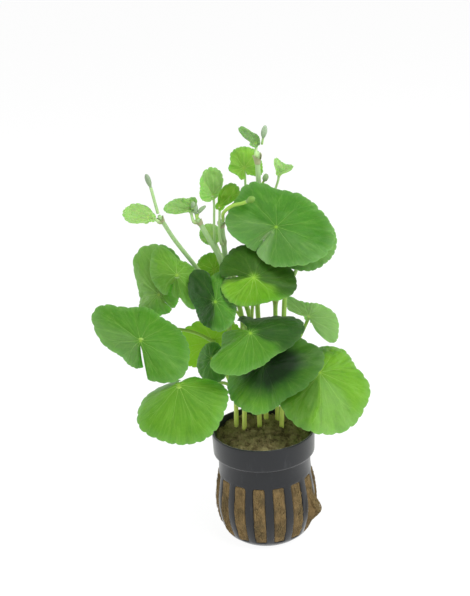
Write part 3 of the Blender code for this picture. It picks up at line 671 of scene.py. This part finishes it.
def stem_material():
    """Smooth pale green stalks with faint lengthwise streaks, browner at the nodes, and pale yellow at the
    foot, partly their own colour and partly painted light where the leaves shade them.
    """
    g = Graph("stem")
    node, tone, height = g.attribute("stalk")
    streak = g.noise(g.place((1, 1, 0.06)), 1600.0, 3.0, 0.6)
    cloud = g.noise(g.place(), 120.0, 2.0, 0.5)
    body = g.mix(streak, (104, 152, 44), (158, 200, 90))
    body = g.mix(g.times(cloud, 0.5), body, (112, 158, 54))
    # tone is yellower at the foot, partly the stems' own colour and partly painted light
    body = g.mix(tone, body, (176, 210, 84))
    # Painted light: the stems' feet, shaded by the leaves, are lit up to a pale yellow-green
    body = g.mix(g.span(height, 0.6, 0.68, 0.7, 0), body, (222, 234, 120))
    body = g.mix(g.span(height, 1.15, 1.42, 0, 0.6), body, (176, 206, 164))
    body = g.mix(g.times(node, 0.45), body, (128, 126, 70))
    return g.finish({
        "Base Color": body, "Roughness": g.math("MULTIPLY_ADD", cloud, 0.18, 0.30),
        "Specular IOR Level": 0.45, "Subsurface Weight": 0.3, "Subsurface Radius": (0.6, 1, 0.3),
        "Subsurface Scale": 0.0009, "Normal": g.bump(streak, 0.3, 0.00012)})


def sheath_material():
    g = Graph("sheath")
    fibre = g.noise(g.place((1, 1, 0.1)), 1800.0, 3.0, 0.6)
    body = g.mix(fibre, (140, 146, 100), (184, 186, 146))
    return g.finish({"Base Color": body, "Roughness": 0.6, "Normal": g.bump(fibre, 0.4, 0.0001)})


def bud_material():
    g = Graph("bud")
    fresh, milk, along = g.attribute("stalk")
    fibre = g.noise(g.place((1, 1, 0.35)), 900.0, 3.0, 0.65)
    green = g.mix(fibre, (90, 132, 62), (128, 162, 88))
    tip = g.mix(fibre, (92, 112, 88), (120, 136, 104))
    grey = g.mix(g.span(along, 0.1, 0.8, 0.3, 0.85), green, tip)
    leafy = g.mix(fibre, (84, 130, 40), (124, 164, 62))
    body = g.mix(milk, g.mix(fresh, grey, leafy), (190, 212, 186))
    return g.finish({"Base Color": body, "Roughness": 0.5, "Normal": g.bump(fibre, 0.5, 0.0002)})


def pot_material():
    """Moulded charcoal plastic with a satin skin, faintly dusty and scuffed, and paler at its foot."""
    g = Graph("pot_plastic")
    place = g.place()
    cloud = g.noise(place, 45.0, 4.0, 0.6)
    skin = g.noise(place, 2600.0, 2.0, 0.5)
    scuff = g.span(g.noise(g.place((1, 1, 0.25)), 300.0, 4.0, 0.7), 0.56, 0.78)
    body = g.mix(cloud, (22, 24, 27), (34, 36, 39))
    body = g.mix(g.times(scuff, 0.3), body, (74, 76, 78))
    foot = g.span(g.parts(place)[2], 0, 0.005, 0.55, 0)
    body = g.mix(foot, body, (128, 132, 134))
    return g.finish({
        "Base Color": body, "Roughness": g.math("MULTIPLY_ADD", cloud, 0.22, 0.30),
        "Specular IOR Level": 0.35, "Sheen Weight": 0.6, "Sheen Roughness": 0.35, "Sheen Tint": WHITE,
        "Normal": g.bump(skin, 0.35, 0.00008)})


def wool_material(name, loose=False):
    """Mineral wool: tan and streaky in the slots, dark and damp on top."""
    g = Graph(name)
    place = g.place()
    strand = g.noise(g.place((1, 1, 0.28)), 620.0, 5.0, 0.72, 0.8)
    clump = g.noise(place, 170.0, 4.0, 0.62)
    tan = g.mix(strand, (70, 57, 34), (158, 132, 88))
    tan = g.mix(g.span(clump, 0.35, 0.6), g.mix(strand, (50, 42, 28), (118, 100, 68)), tan)
    damp = g.mix(strand, (92, 86, 52), (186, 174, 124))
    damp = g.mix(g.span(clump, 0.38, 0.56), g.mix(strand, (40, 36, 22), (112, 96, 60)), damp)
    body = g.mix(g.span(g.parts(place)[2], 0.038, 0.046), tan, damp)
    if loose:
        body = g.mix(0.3, body, (168, 150, 104))
    return g.finish({
        "Base Color": body, "Roughness": 0.9, "Specular IOR Level": 0.2,
        "Normal": g.bump(strand, 0.9, 0.0006, g.bump(clump, 0.6, 0.0011))})


# The pot

def profile_radius(height):
    """The pot's outer radius below its collar: straight at the foot, then a smooth curve."""
    rows, start = BODY_PROFILE, BODY_CURVE_START
    if height <= rows[start][0]:
        for (low, first), (high, second) in zip(rows, rows[1:start + 1]):
            if height <= high:
                return first + (second - first) * (height - low) / (high - low)
    index = max(i for i in range(start, len(rows) - 1) if rows[i][0] <= height or i == start)
    (low, first), (high, second) = rows[index], rows[index + 1]
    before = rows[index - 1] if index > start else rows[index]
    after = rows[index + 2] if index + 2 < len(rows) else rows[index + 1]
    span = high - low
    return curve_between(first, second, (second - before[1]) / (high - before[0]) * span,
                         (after[1] - first) / (after[0] - low) * span,
                         min(1, max(0, (height - low) / span)))


def round_corner(across, up, half_width, half_height, corner):
    """A point on a square's edge, carried to a rectangle with round corners."""
    x, y = across * half_width, up * half_height
    cx = max(-(half_width - corner), min(half_width - corner, x))
    cy = max(-(half_height - corner), min(half_height - corner, y))
    length = hypot(x - cx, y - cy)
    return cx + (x - cx) / length * corner, cy + (y - cy) / length * corner


def make_pot(plastic):
    square = [(-1 + 2 * i / END_STEPS, -1) for i in range(END_STEPS)]
    square += [(1, -1 + 2 * i / SIDE_STEPS) for i in range(SIDE_STEPS)]
    square += [(-x, -y) for x, y in square]
    middle = (SLOT_BOTTOM + SLOT_TOP) / 2
    half_height = (SLOT_TOP - SLOT_BOTTOM) / 2
    half_width = SLOT_REFERENCE * SLOT_PITCH * SLOT_SHARE / 2
    cell_height = half_height + CELL_MARGIN
    low_edge, high_edge = middle - cell_height, middle + cell_height
    edge, soft = SLOT_EDGE, SLOT_EDGE_MIDDLE
    steps = ((edge, 0), (soft, soft), (0, edge), (0, WALL - edge), (soft, WALL - soft), (edge, WALL))
    points, faces = [], []

    def spot(angle, height, depth):
        return around(profile_radius(height) - depth, angle, height)

    for slot in range(SLOTS):
        centre = slot * SLOT_PITCH + SLOT_TURN
        front, back = ([spot(centre + across * SLOT_PITCH / 2, middle + up * cell_height, depth)
                        for across, up in square] for depth in (0, WALL))
        opening = []
        for offset, depth in steps:
            sizes = half_width + offset, half_height + offset, SLOT_CORNER + offset
            rim = [round_corner(across, up, *sizes) for across, up in square]
            opening.append([spot(centre + x / SLOT_REFERENCE, middle + y, depth) for x, y in rim])
        join_rings(faces, [add_ring(points, ring) for ring in (front, *opening, back)])

    angles = [SLOT_TURN - SLOT_PITCH / 2 + column * SLOT_PITCH / END_STEPS
              for column in range(SLOTS * END_STEPS)]

    def turned(rows):
        rings = [add_ring(points, [around(radius, angle, height) for angle in angles])
                 for height, radius in rows]
        join_rings(faces, rings)
        return rings

    outer_low = turned(FOOT_PROFILE + ((low_edge, profile_radius(low_edge)),))
    faces.append(tuple(reversed(outer_low[0])))
    neck = [(height, profile_radius(height)) for height in (high_edge, *NECK_HEIGHTS)]
    inner_neck = [(height, profile_radius(height) - WALL) for height in (*INNER_NECK_HEIGHTS, high_edge)]
    turned(neck + list(COLLAR_PROFILE) + inner_neck)
    bend_height, bend_radius = FLOOR_CORNER
    inner_low = turned([(low_edge, profile_radius(low_edge) - WALL), (FLOOR + bend_height, bend_radius),
                        (FLOOR, FLOOR_RADIUS)])
    faces.append(tuple(inner_low[-1]))

    piece = add_piece("pot_moulding", points, faces, [plastic], ("pot",))
    cleaned = bmesh.new()
    cleaned.from_mesh(piece.data)
    bmesh.ops.remove_doubles(cleaned, verts=cleaned.verts, dist=WELD)
    bmesh.ops.recalc_face_normals(cleaned, faces=cleaned.faces)
    cleaned.to_mesh(piece.data)
    cleaned.free()
    piece.data.shade_smooth()
    piece.data.set_sharp_from_angle(angle=POT_SHARP)


# The rockwool

def slot_share(angle, height, margin=-0.12):
    """1 in the middle of a slot, 0 behind a rib, with a soft edge."""
    across = (angle - SLOT_TURN + SLOT_PITCH / 2) % SLOT_PITCH - SLOT_PITCH / 2
    side = (SLOT_PITCH * SLOT_SHARE / 2 - abs(across)) * SLOT_REFERENCE - margin
    end = min(height - SLOT_BOTTOM, SLOT_TOP - height) - margin
    return smooth(side, 0, 0.3) * smooth(end, 0, 0.5)


def tuft_depth(angle, height):
    """How far the loose tuft at the lower right stands out of its slot."""
    across = (angle - SLOT_TURN - TUFT_SLOT * SLOT_PITCH + pi) % TURN - pi
    return TUFT_DEPTH * bell(across / SLOT_PITCH, TUFT_WIDTH) * bell(height - TUFT_HEIGHT, TUFT_SPREAD)


def wool_top(x, y):
    """The height of the plug's lumpy top, with a curled lump at the front."""
    base = WOOL_TOP + WOOL_CROWN * (1 - hypot(x, y) / WOOL_TOP_RADIUS)
    lump = noise.fractal(Vector((x * 0.16, y * 0.16, 3.1)), 0.6, 2.0, 4)
    small = noise.fractal(Vector((x * 0.6, y * 0.6, 9.4)), 0.7, 2.0, 3)
    return base - 0.6 + 1.5 * lump + 0.9 * small + 1.2 * bell(x + 0.5, 6.5) * bell(y + 14.5, 4.0)


def make_rockwool(wool):
    points, faces, rings = [], [], []
    angles = [TURN * column / WOOL_COLUMNS for column in range(WOOL_COLUMNS)]
    for row in range(WOOL_ROWS + 1):
        height = WOOL_FOOT + (WOOL_SHOULDER - WOOL_FOOT) * row / WOOL_ROWS
        wall = profile_radius(min(height, NECK_TOP))
        inner = wall - WALL - WOOL_INSET
        inner += (WOOL_TOP_RADIUS - inner) * smooth(height, *WOOL_WIDENS)
        if height < SLOT_BOTTOM:
            inner = min(inner, WOOL_FOOT_RADIUS + height - FLOOR)
        ring = []
        for angle in angles:
            here = slot_share(angle, height)
            x, y = cos(angle), sin(angle)
            rough = noise.fractal(Vector((x * 8, y * 8, height * 0.11)), 0.7, 2.0, 5)
            fine = grain(x * 46, y * 46, height * 0.7)
            radius = inner + here * (wall + WOOL_SWELL - inner + WOOL_ROUGH * rough + WOOL_FINE * fine)
            radius = min(radius, wall + WOOL_SWELL_LIMIT)
            radius += here * tuft_depth(angle, height) * (1 + 0.5 * rough)
            ring.append(around(radius, angle, height))
        rings.append(add_ring(points, ring))
    faces.append(tuple(reversed(rings[0])))
    for row in range(1, WOOL_TOP_ROWS):
        radius = WOOL_TOP_RADIUS * (1 if row == 1 else (1 - row / WOOL_TOP_ROWS) ** 0.9)
        drop = WOOL_EDGE_DROP * smooth(radius, WOOL_TOP_RADIUS - WOOL_EDGE_WIDTH, WOOL_TOP_RADIUS)
        spots = [around(radius, angle, 0) for angle in angles]
        rings.append(add_ring(points, [(x, y, wool_top(x, y) - drop) for x, y, _ in spots]))
    join_rings(faces, rings)
    faces.append(tuple(rings[-1]))
    add_piece("rockwool_plug", points, faces, [wool], ("rockwool",))


def make_fibres(wool):
    """Loose strands on the plug's top, in the slots and on the tuft."""
    chance = random.Random(STRAND_SEED)
    points, faces = [], []

    def strand(path, thinnest, thickest):
        """Add a strand that tapers towards both ends, unless it is a mere stub."""
        count = len(path)
        if count <= 3:
            return
        radius = chance.uniform(thinnest, thickest)
        radii = [radius * (0.5 + 0.5 * sin(pi * (i + 0.6) / (count + 0.2))) for i in range(count)]
        more, more_faces = tube(path, radii, 4, len(points))
        points.extend(more)
        faces.extend(more_faces)

    for _ in range(TOP_STRANDS):
        x, y = around(STRAND_REACH * sqrt(chance.random()), chance.uniform(0, TURN), 0)[:2]
        heading = chance.uniform(0, TURN)
        curl = chance.uniform(-0.35, 0.35)
        length = chance.uniform(*TOP_STRAND_LENGTH)
        lift = chance.uniform(0, TOP_STRAND_LIFT)
        path = []
        for step in range(TOP_STRAND_STEPS + 1):
            if hypot(x, y) > STRAND_LIMIT:
                break
            rise = sin(pi * step / TOP_STRAND_STEPS) * lift
            path.append(Vector((x, y, wool_top(x, y) + 0.02 + rise)))
            x += cos(heading) * length / TOP_STRAND_STEPS
            y += sin(heading) * length / TOP_STRAND_STEPS
            heading += curl
        strand(path, *TOP_STRAND_RADIUS)
    for _ in range(SLOT_STRANDS):
        slot = chance.randrange(SLOTS)
        if chance.random() < 0.14:
            slot = TUFT_SLOT
        angle = SLOT_TURN + slot * SLOT_PITCH + chance.uniform(-0.08, 0.08)
        height = chance.uniform(SLOT_BOTTOM + 1, SLOT_TOP - 4.0)
        if slot == TUFT_SLOT and chance.random() < 0.7:
            height = chance.gauss(TUFT_HEIGHT, 3.0)
        slope = chance.gauss(0, SLOT_STRAND_SLOPE)
        length = chance.uniform(*SLOT_STRAND_LENGTH)
        path = []
        for step in range(SLOT_STRAND_STEPS + 1):
            part = step / SLOT_STRAND_STEPS
            up = height + cos(slope) * length * part
            turn = angle + sin(slope) * length * part / SLOT_REFERENCE + 0.01 * sin(part * 5 + slope * 9)
            here = slot_share(turn, up, 0.1)
            if here < 0.12 or up > SLOT_TOP - 0.8 or up < SLOT_BOTTOM + 0.6:
                break
            radius = (profile_radius(up) + 0.3 + here * tuft_depth(turn, up) * 1.12
                      + 0.35 * sin(pi * part) * chance.uniform(0.2, 1))
            path.append(Vector(around(radius, turn, up)))
        strand(path, *SLOT_STRAND_RADIUS)
    add_piece("rockwool_strands", points, faces, [wool])


# Stems, petioles, blades and buds

def find_stem(name):
    return next(stem for stem in STEMS if stem.name == name)


def stem_radius(stem, share, height):
    radius = stem.radii[0] + (stem.radii[1] - stem.radii[0]) * share
    return radius + sum(NODE_SWELL * bell(height - node, NODE_LENGTH) for node in stem.nodes)


def make_stem(stem, green):
    shares = [index / STEM_STEPS for index in range(STEM_STEPS + 1)]
    path = [curve_point(stem.points, share) for share in shares]
    path[0].z -= STEM_ROOT
    radii, stalk = [], []
    for share, point in zip(shares, path):
        ridge = sum(RIDGE_HEIGHT * bell(point.z - node, RIDGE_LENGTH) for node in stem.nodes)
        uneven = 1 + STEM_UNEVEN * noise.noise(point * 0.4)
        radii.append((stem_radius(stem, share, point.z) + ridge) * uneven)
        near = max(bell(point.z - node, 1.5) for node in stem.nodes)
        # Yellower below 60 mm, partly the stems' own colour and partly painted light where the leaves shade
        # them
        tone = 0.25 + 0.5 * smooth(point.z, 60, 50)
        stalk.extend([(near, tone, point.z / 100)] * STEM_SIDES)
    radii[-1] *= STEM_TIP
    points, faces = tube(path, radii, STEM_SIDES)
    add_piece(stem.name + "_fine", points, faces, [green], (stem.name,), {"stalk": stalk})


def blade_axes(leaf):
    azimuth, tilt = (radians(angle) for angle in leaf.facing)
    hinge = Vector((-sin(azimuth), cos(azimuth), 0))
    turn = Matrix.Rotation(tilt, 3, hinge)
    tip = turn @ Vector(around(1, radians(leaf.tip), 0))
    up = turn @ Vector((0, 0, 1))
    return tip, up.cross(tip), up


def petiole_path(leaf):
    up = blade_axes(leaf)[2]
    start = Vector(leaf.hub) - up * CAD_BLADE
    stem = find_stem(leaf.stem)
    share = curve_at_height(stem.points, leaf.joins_at)
    joint = curve_point(stem.points, share)
    if leaf.side is None:
        outward = Vector((leaf.hub[0] - joint.x, leaf.hub[1] - joint.y, 0)).normalized()
    else:
        outward = Vector(around(1, radians(leaf.side), 0))
    thick = CAD_PETIOLE_RADIUS if max(leaf.radii) > LARGE_RADIUS else CAD_SMALL_PETIOLE_RADIUS
    foot = joint + outward * (stem_radius(stem, share, joint.z) + CAD_GAP + thick)
    leave = outward * PETIOLE_RISE[0] + Vector((0, 0, PETIOLE_RISE[1]))
    reach = (foot - start).length * PETIOLE_PULL
    hinge = up.cross(Vector((0, 0, 1))).normalized()
    onward = Matrix.Rotation(radians(leaf.droop), 3, hinge) @ -up
    path = [bezier(start, start + onward * leaf.launch, foot + leave * reach, foot, index / PETIOLE_STEPS)
            for index in range(PETIOLE_STEPS + 1)]
    return path, joint


def petiole(leaf, start):
    """The leaf's stalk, flared under the blade and where it clasps the stem."""
    path, joint = petiole_path(leaf)
    length = sum((b - a).length for a, b in zip(path, path[1:]))
    thin = YOUNG_PETIOLE_RADIUS if leaf.young and max(leaf.radii) < SMALL_BLADE else PETIOLE_RADIUS
    radii, run = [], 0
    for index, point in enumerate(path):
        if index:
            run += (point - path[index - 1]).length
        flares = (HUB_FLARE, run), (CLASP_FLARE, length - run)
        radii.append(thin + sum(extra * exp(-distance / fade) for (extra, fade), distance in flares))
    # Two more points carry the petiole into the stem
    path.append(path[-1] + (joint - path[-1]) * 0.35 + Vector((0, 0, -0.5)))
    radii.append(radii[-1] * 0.95)
    path.append(joint + Vector((0, 0, -1)))
    radii.append(radii[-1] * 0.7)
    points, faces = tube(path, radii, PETIOLE_SIDES, start)
    stalk = []
    for index, point in enumerate(path):
        near = smooth(index, len(path) - 7, len(path) - 1)
        stalk.extend([(near, 0.35 + 0.4 * leaf.young, max(point.z, 70) / 100)] * PETIOLE_SIDES)
    return points, faces, stalk


def painted_blade_shade(look, angle, share, seed):
    """How much painted shade, above zero, or painted light and paleness, below it, a place on the blade has.
    """
    # deep paints shade around the hub, and milk makes the whole blade paler
    shade = look.deep * (1 - smooth(share, 0.35, 0.85)) - look.milk
    bent = angle + FLAP_WANDER * grain(share * 3, seed * 1.9, 2.2)
    # Each flap is painted shade, or painted light where its strength is below zero
    for begin, end, strength in look.flaps:
        inside = smooth(bent, begin - FLAP_FADE, begin + FLAP_FADE)
        inside *= 1 - smooth(bent, end - FLAP_FADE, end + FLAP_FADE)
        shade += strength * inside * smooth(share, 0.02, 0.25)
    return shade


def scallops(across, share, angle, seed, young):
    """How the margin's scallops scale the radius, and how large they are here."""
    phase = (SCALLOPS_PER_VEIN * across + 0.5 * grain(across * 0.9, seed * 3.7, 0.5)) % 1
    cusp = 1 - sqrt(max(0, 1 - (2 * abs(phase - 0.5)) ** 2 * 0.985))
    double = 1 - sqrt(max(0, 1 - (2 * abs((2 * phase) % 1 - 0.5)) ** 2 * 0.96))
    size = 1 + 0.45 * grain(across * 0.7, seed * 1.3, 7.5)
    depth = (YOUNG_SCALLOP_DEPTH if young else SCALLOP_DEPTH) * smooth(share, 0.72, 1)
    near_sinus = 1 - 0.6 * smooth(abs(angle), 150, 176)
    return 1 + depth * (0.28 - size * near_sinus * (cusp + 0.22 * double)), size


def blade_relief(across, share, size):
    """The veins' grooves and the ruffle towards the rim."""
    off = abs(across % 1 - 0.5)
    fork = 0.27 * smooth(share, 0.42, 1)
    relief = -VEIN_GROOVE * bell(off, 0.085) * smooth(share, 0.05, 0.2) * (1 - 0.45 * share)
    relief -= FORK_GROOVE * bell(off - fork, 0.06) * smooth(share, 0.45, 0.7)
    return relief - RUFFLE * share ** 5 * cos(2 * TURN * across) * (0.5 + 0.5 * size)


def blade_surface(leaf, columns, seed):
    """The blade's upper side with its lobes, veins and folds: its points, their attributes and the rows.

    A row is a closed ring near the hub, and is open where it meets the notch.
    """
    look, hub = leaf.look, Vector(leaf.hub)
    tip, left, up = blade_axes(leaf)
    mean = sum(leaf.radii) / len(leaf.radii)
    largest = max(leaf.radii)
    closed = leaf.notch < CLOSED_NOTCH
    widest = -LOBE_OVERLAP if closed else leaf.notch
    sinus = CLOSED_SHARE * mean if closed else SINUS_START
    ends = (leaf.lifts[0] + leaf.lifts[-1]) / 2
    top, marks, skin, rows, open_rows = [], [], [], [], []
    for share in BLADE_SHARES:
        row, out = [], share * mean
        welded = out < sinus
        reach_to = 180 - widest * smooth(out, sinus - 0.4, sinus + 3.0)
        blend = smooth(share, 0, HUB_BLEND)
        for column in range(columns + (0 if welded else 1)):
            unit = -1 + 2 * column / columns
            angle = unit * reach_to
            position = (angle + LAST_STATION) / (2 * LAST_STATION)
            if welded and column == 0:
                radius, lift = mean, ends
            else:
                radius = mean + (read_curve(leaf.radii, position) - mean) * blend
                lift = read_curve(leaf.lifts, position)
            if closed:
                lift += (ends - lift) * smooth(abs(angle), 135, 180)
            lobe = (abs(angle) - (180 - leaf.notch - LOBE_SPAN)) / LOBE_SPAN
            if lobe > 0:
                radius *= 1 - LOBE_ROUNDING * lobe ** 2 * blend
            across = VEINS * (unit + 1) / 2
            scale, size = scallops(across, share, angle, seed, leaf.young)
            radius *= scale
            reach = radius * share
            lift *= share ** leaf.bend
            relief = blade_relief(across, share, size) * min(1, largest / 16)
            turn = radians(angle)
            flat = Vector(around(1, turn, 0)) * share
            wave = WAVE * share ** 1.5 * noise.noise(flat * 1.7 + Vector((seed * 5.1, 0, 0)))
            pucker = look.crinkle * PUCKER * smooth(share, 0.08, 0.3) * noise.fractal(
                flat * (largest / 4.2) + Vector((0, seed * 2.3, 1.7)), 0.8, 2.0, 2)
            dimple = DIMPLE_DEPTH * bell(reach, DIMPLE_WIDTH)
            height = lift + (relief + wave + pucker) * smooth(share, 0, 0.12) - dimple
            if closed:
                height += LOBE_STEP * unit ** 9 * smooth(out, sinus - 0.4, sinus + 2.0)
            row.append(len(top))
            top.append(hub + tip * (reach * cos(turn)) + left * (reach * sin(turn)) + up * height)
            marks.append((across, share, radius * TURN / VEINS))
            skin.append((0, look.tone, painted_blade_shade(look, angle, share, seed)))
        if welded:
            row.append(row[0])
        else:
            open_rows.append(row)
        rows.append(row)
    return top, marks, skin, rows, open_rows


def make_leaf(leaf, blade_skin, green, seed):
    """The fine blade and its petiole."""
    up = blade_axes(leaf)[2]
    columns = BLADE_COLUMNS if max(leaf.radii) > SMALL_BLADE else SMALL_BLADE_COLUMNS
    top, marks, skin, rows, open_rows = blade_surface(leaf, columns, seed)
    centre = len(top)
    top.append(Vector(leaf.hub) - up * DIMPLE_DEPTH)
    marks.append((0, 0, 1))
    skin.append((0, leaf.look.tone, 0))
    count = len(top)

    faces = [(centre, rows[0][i], rows[0][i + 1]) for i in range(columns)]
    for low, high in zip(rows, rows[1:]):
        faces += [(low[i], high[i], high[i + 1], low[i + 1]) for i in range(columns)]
    faces += [tuple(count + number for number in reversed(face)) for face in faces]
    outer = rows[-1]
    faces += [(a, count + a, count + b, b) for a, b in zip(outer, outer[1:])]
    for low, high in zip(open_rows, open_rows[1:]):
        faces.append((low[0], count + low[0], count + high[0], high[0]))
        faces.append((low[-1], high[-1], count + high[-1], count + low[-1]))
    under = [spot - up * (BLADE_THICKNESS * (1 - 0.35 * share)) for spot, (_, share, _) in zip(top, marks)]
    stalk_points, stalk_faces, stalk = petiole(leaf, 2 * count)
    indices = [0] * len(faces) + [1] * len(stalk_faces)
    along = len(stalk_points)
    attributes = {
        "blade": marks + marks + [(0, 0, 1)] * along,
        "skin": skin + [(1, tone, shade) for _, tone, shade in skin] + [(0, 0.5, 0)] * along,
        "stalk": [(0, 0.3, 1)] * (2 * count) + stalk,
    }
    add_piece(leaf.name + "_fine", top + under + stalk_points, faces + stalk_faces, [blade_skin, green],
              (leaf.name,), attributes, indices)


def make_bud(bud, skin, green, replaced=True):
    """A ribbed bud on its stalk."""
    total = sum((Vector(b) - Vector(a)).length for a, b in zip(bud.points, bud.points[1:]))
    from_share = 1 - bud.length / total
    steps = BUD_STALK_STEPS
    shares = [from_share * index / steps for index in range(steps + 1)]
    girths = [bud.stalk] * (steps + 1)
    for step, girth in BUD_SHAPE:
        shares.append(from_share + (1 - from_share) * (0.06 + 0.94 * step))
        girths.append(bud.radius * bud.girth * girth)
    path = [curve_point(bud.points, min(share, 1)) for share in shares]
    points, faces = tube(path, girths, STEM_SIDES)
    stalk = []
    for number, point in enumerate(points):
        index, side = divmod(number, STEM_SIDES)
        along = max(0, (index - steps) / (len(path) - steps - 1))
        ribs = 0.10 * smooth(index, steps + 1, steps + 3)
        ribs *= cos(4 * TURN * side / STEM_SIDES + along * 2)
        points[number] = point + (point - path[index]) * ribs
        stalk.append((bud.fresh, bud.milk, along) if index > steps else (0, 0.4, 1.4 - 0.4 * bud.fresh))
    indices = [0 if min(face) >= steps * STEM_SIDES else 1 for face in faces]
    add_piece(bud.name + "_fine", points, faces, [skin, green],
              (bud.name,) if replaced else (), {"stalk": stalk}, indices)


def make_sheath(stem_name, height, length, reach, seed, material):
    """A papery sheath that clasps a node, open at its upper rim."""
    stem = find_stem(stem_name)
    share = curve_at_height(stem.points, height)
    centre = curve_point(stem.points, share)
    above, below = curve_point(stem.points, min(1, share + 0.02)), curve_point(stem.points, share - 0.02)
    along = (above - below).normalized()
    side = along.orthogonal().normalized()
    across = along.cross(side)
    base = stem_radius(stem, share, centre.z)
    points, faces, rings = [], [], []
    parts = [row / SHEATH_ROWS for row in range(SHEATH_ROWS + 1)]
    layers = [(part, 0) for part in parts] + [(1 - part, SHEATH_THICKNESS) for part in parts]
    for part, inset in layers:
        radius = base + SHEATH_GAP + reach * part ** 1.4 - inset * (0.4 + 0.6 * part)
        ring = []
        for column in range(SHEATH_COLUMNS):
            turn = TURN * column / SHEATH_COLUMNS
            lobes = 0.62 + 0.38 * cos(2 * turn + seed)
            lobes += 0.18 * grain(cos(turn) * 2, sin(turn) * 2, seed)
            up = part * length * (1 if part < 0.4 else 0.4 / part + (1 - 0.4 / part) * lobes) - 0.8
            ring.append(centre + along * up + (side * cos(turn) + across * sin(turn)) * radius)
        rings.append(add_ring(points, ring))
    join_rings(faces, rings + rings[:1])
    add_piece(f"sheath_{stem_name}_{int(height)}", points, faces, [material])


# Floor, light and camera

def add_stage(name, points, faces, material):
    mesh = bpy.data.meshes.new(name)
    mesh.from_pydata(points, [], faces)
    mesh.materials.append(material)
    add_object(name, mesh)


def make_stage():
    """A pale floor in a round pale room, with soft lamps."""
    glow = Graph("floor").finish({
        "Base Color": FLOOR_GREY, "Roughness": 0.9, "Specular IOR Level": 0, "Emission Color": WHITE,
        "Emission Strength": FLOOR_GLOW})
    half = STUDIO_RADIUS
    add_stage("floor", [(-half, -half, 0), (half, -half, 0), (half, half, 0), (-half, half, 0)],
              [(0, 1, 2, 3)], glow)
    points = [around(STUDIO_RADIUS, TURN * step / WALL_SIDES, height)
              for height in (0, WALL_HEIGHT) for step in range(WALL_SIDES)]
    add_stage("wall", points, ring_faces(range(WALL_SIDES), range(WALL_SIDES, 2 * WALL_SIDES)), glow)

    world = bpy.data.worlds.new("studio")
    world.use_nodes = True
    world.node_tree.nodes["Background"].inputs["Color"].default_value = WHITE
    world.node_tree.nodes["Background"].inputs["Strength"].default_value = SKY_STRENGTH
    bpy.context.scene.world = world
    for name, place, size, power in LAMPS:
        data = bpy.data.lights.new(name, "AREA")
        data.shape = "SQUARE"
        data.size = size
        data.energy = power
        lamp = add_object(name, data)
        lamp.location = place
        lamp.rotation_mode = "QUATERNION"
        lamp.rotation_quaternion = (Vector(LAMP_TARGET) - Vector(place)).to_track_quat("-Z", "Y")
    bpy.context.scene.view_settings.view_transform = "Standard"


def make_camera():
    pitch, yaw, roll = (radians(a) for a in (CAMERA_PITCH, CAMERA_YAW, CAMERA_ROLL))
    ahead = Vector((sin(yaw) * cos(pitch), cos(yaw) * cos(pitch), -sin(pitch)))
    right = Vector((cos(yaw), -sin(yaw), 0))
    up = right.cross(ahead)
    tilted_right = right * cos(roll) + up * sin(roll)
    tilted_up = up * cos(roll) - right * sin(roll)
    data = bpy.data.cameras.new("camera")
    data.lens = CAMERA_LENS
    data.sensor_width = CAMERA_SENSOR
    data.clip_start, data.clip_end = CAMERA_REACH
    camera = add_object("camera", data)
    axes = Matrix((tilted_right, tilted_up, -ahead)).transposed().to_4x4()
    camera.matrix_world = Matrix.Translation(Vector(CAMERA_PLACE) * MM) @ axes
    bpy.context.scene.camera = camera


def main():
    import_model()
    make_camera()
    make_stage()
    leaf_skin, green = leaf_material(), stem_material()
    bud_skin, papery = bud_material(), sheath_material()
    make_pot(pot_material())
    make_rockwool(wool_material("rockwool"))
    make_fibres(wool_material("rockwool_loose", loose=True))
    for stem in STEMS:
        make_stem(stem, green)
    for seed, leaf in enumerate(LEAVES, 1):
        make_leaf(leaf, leaf_skin, green, seed)
    for bud in BUDS:
        make_bud(bud, bud_skin, green)
    for sprout in SPROUTS:
        make_bud(sprout, bud_skin, green, replaced=False)
    for stem_name, *sizes in SHEATHS:
        make_sheath(stem_name, *sizes, papery)
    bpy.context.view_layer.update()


main()
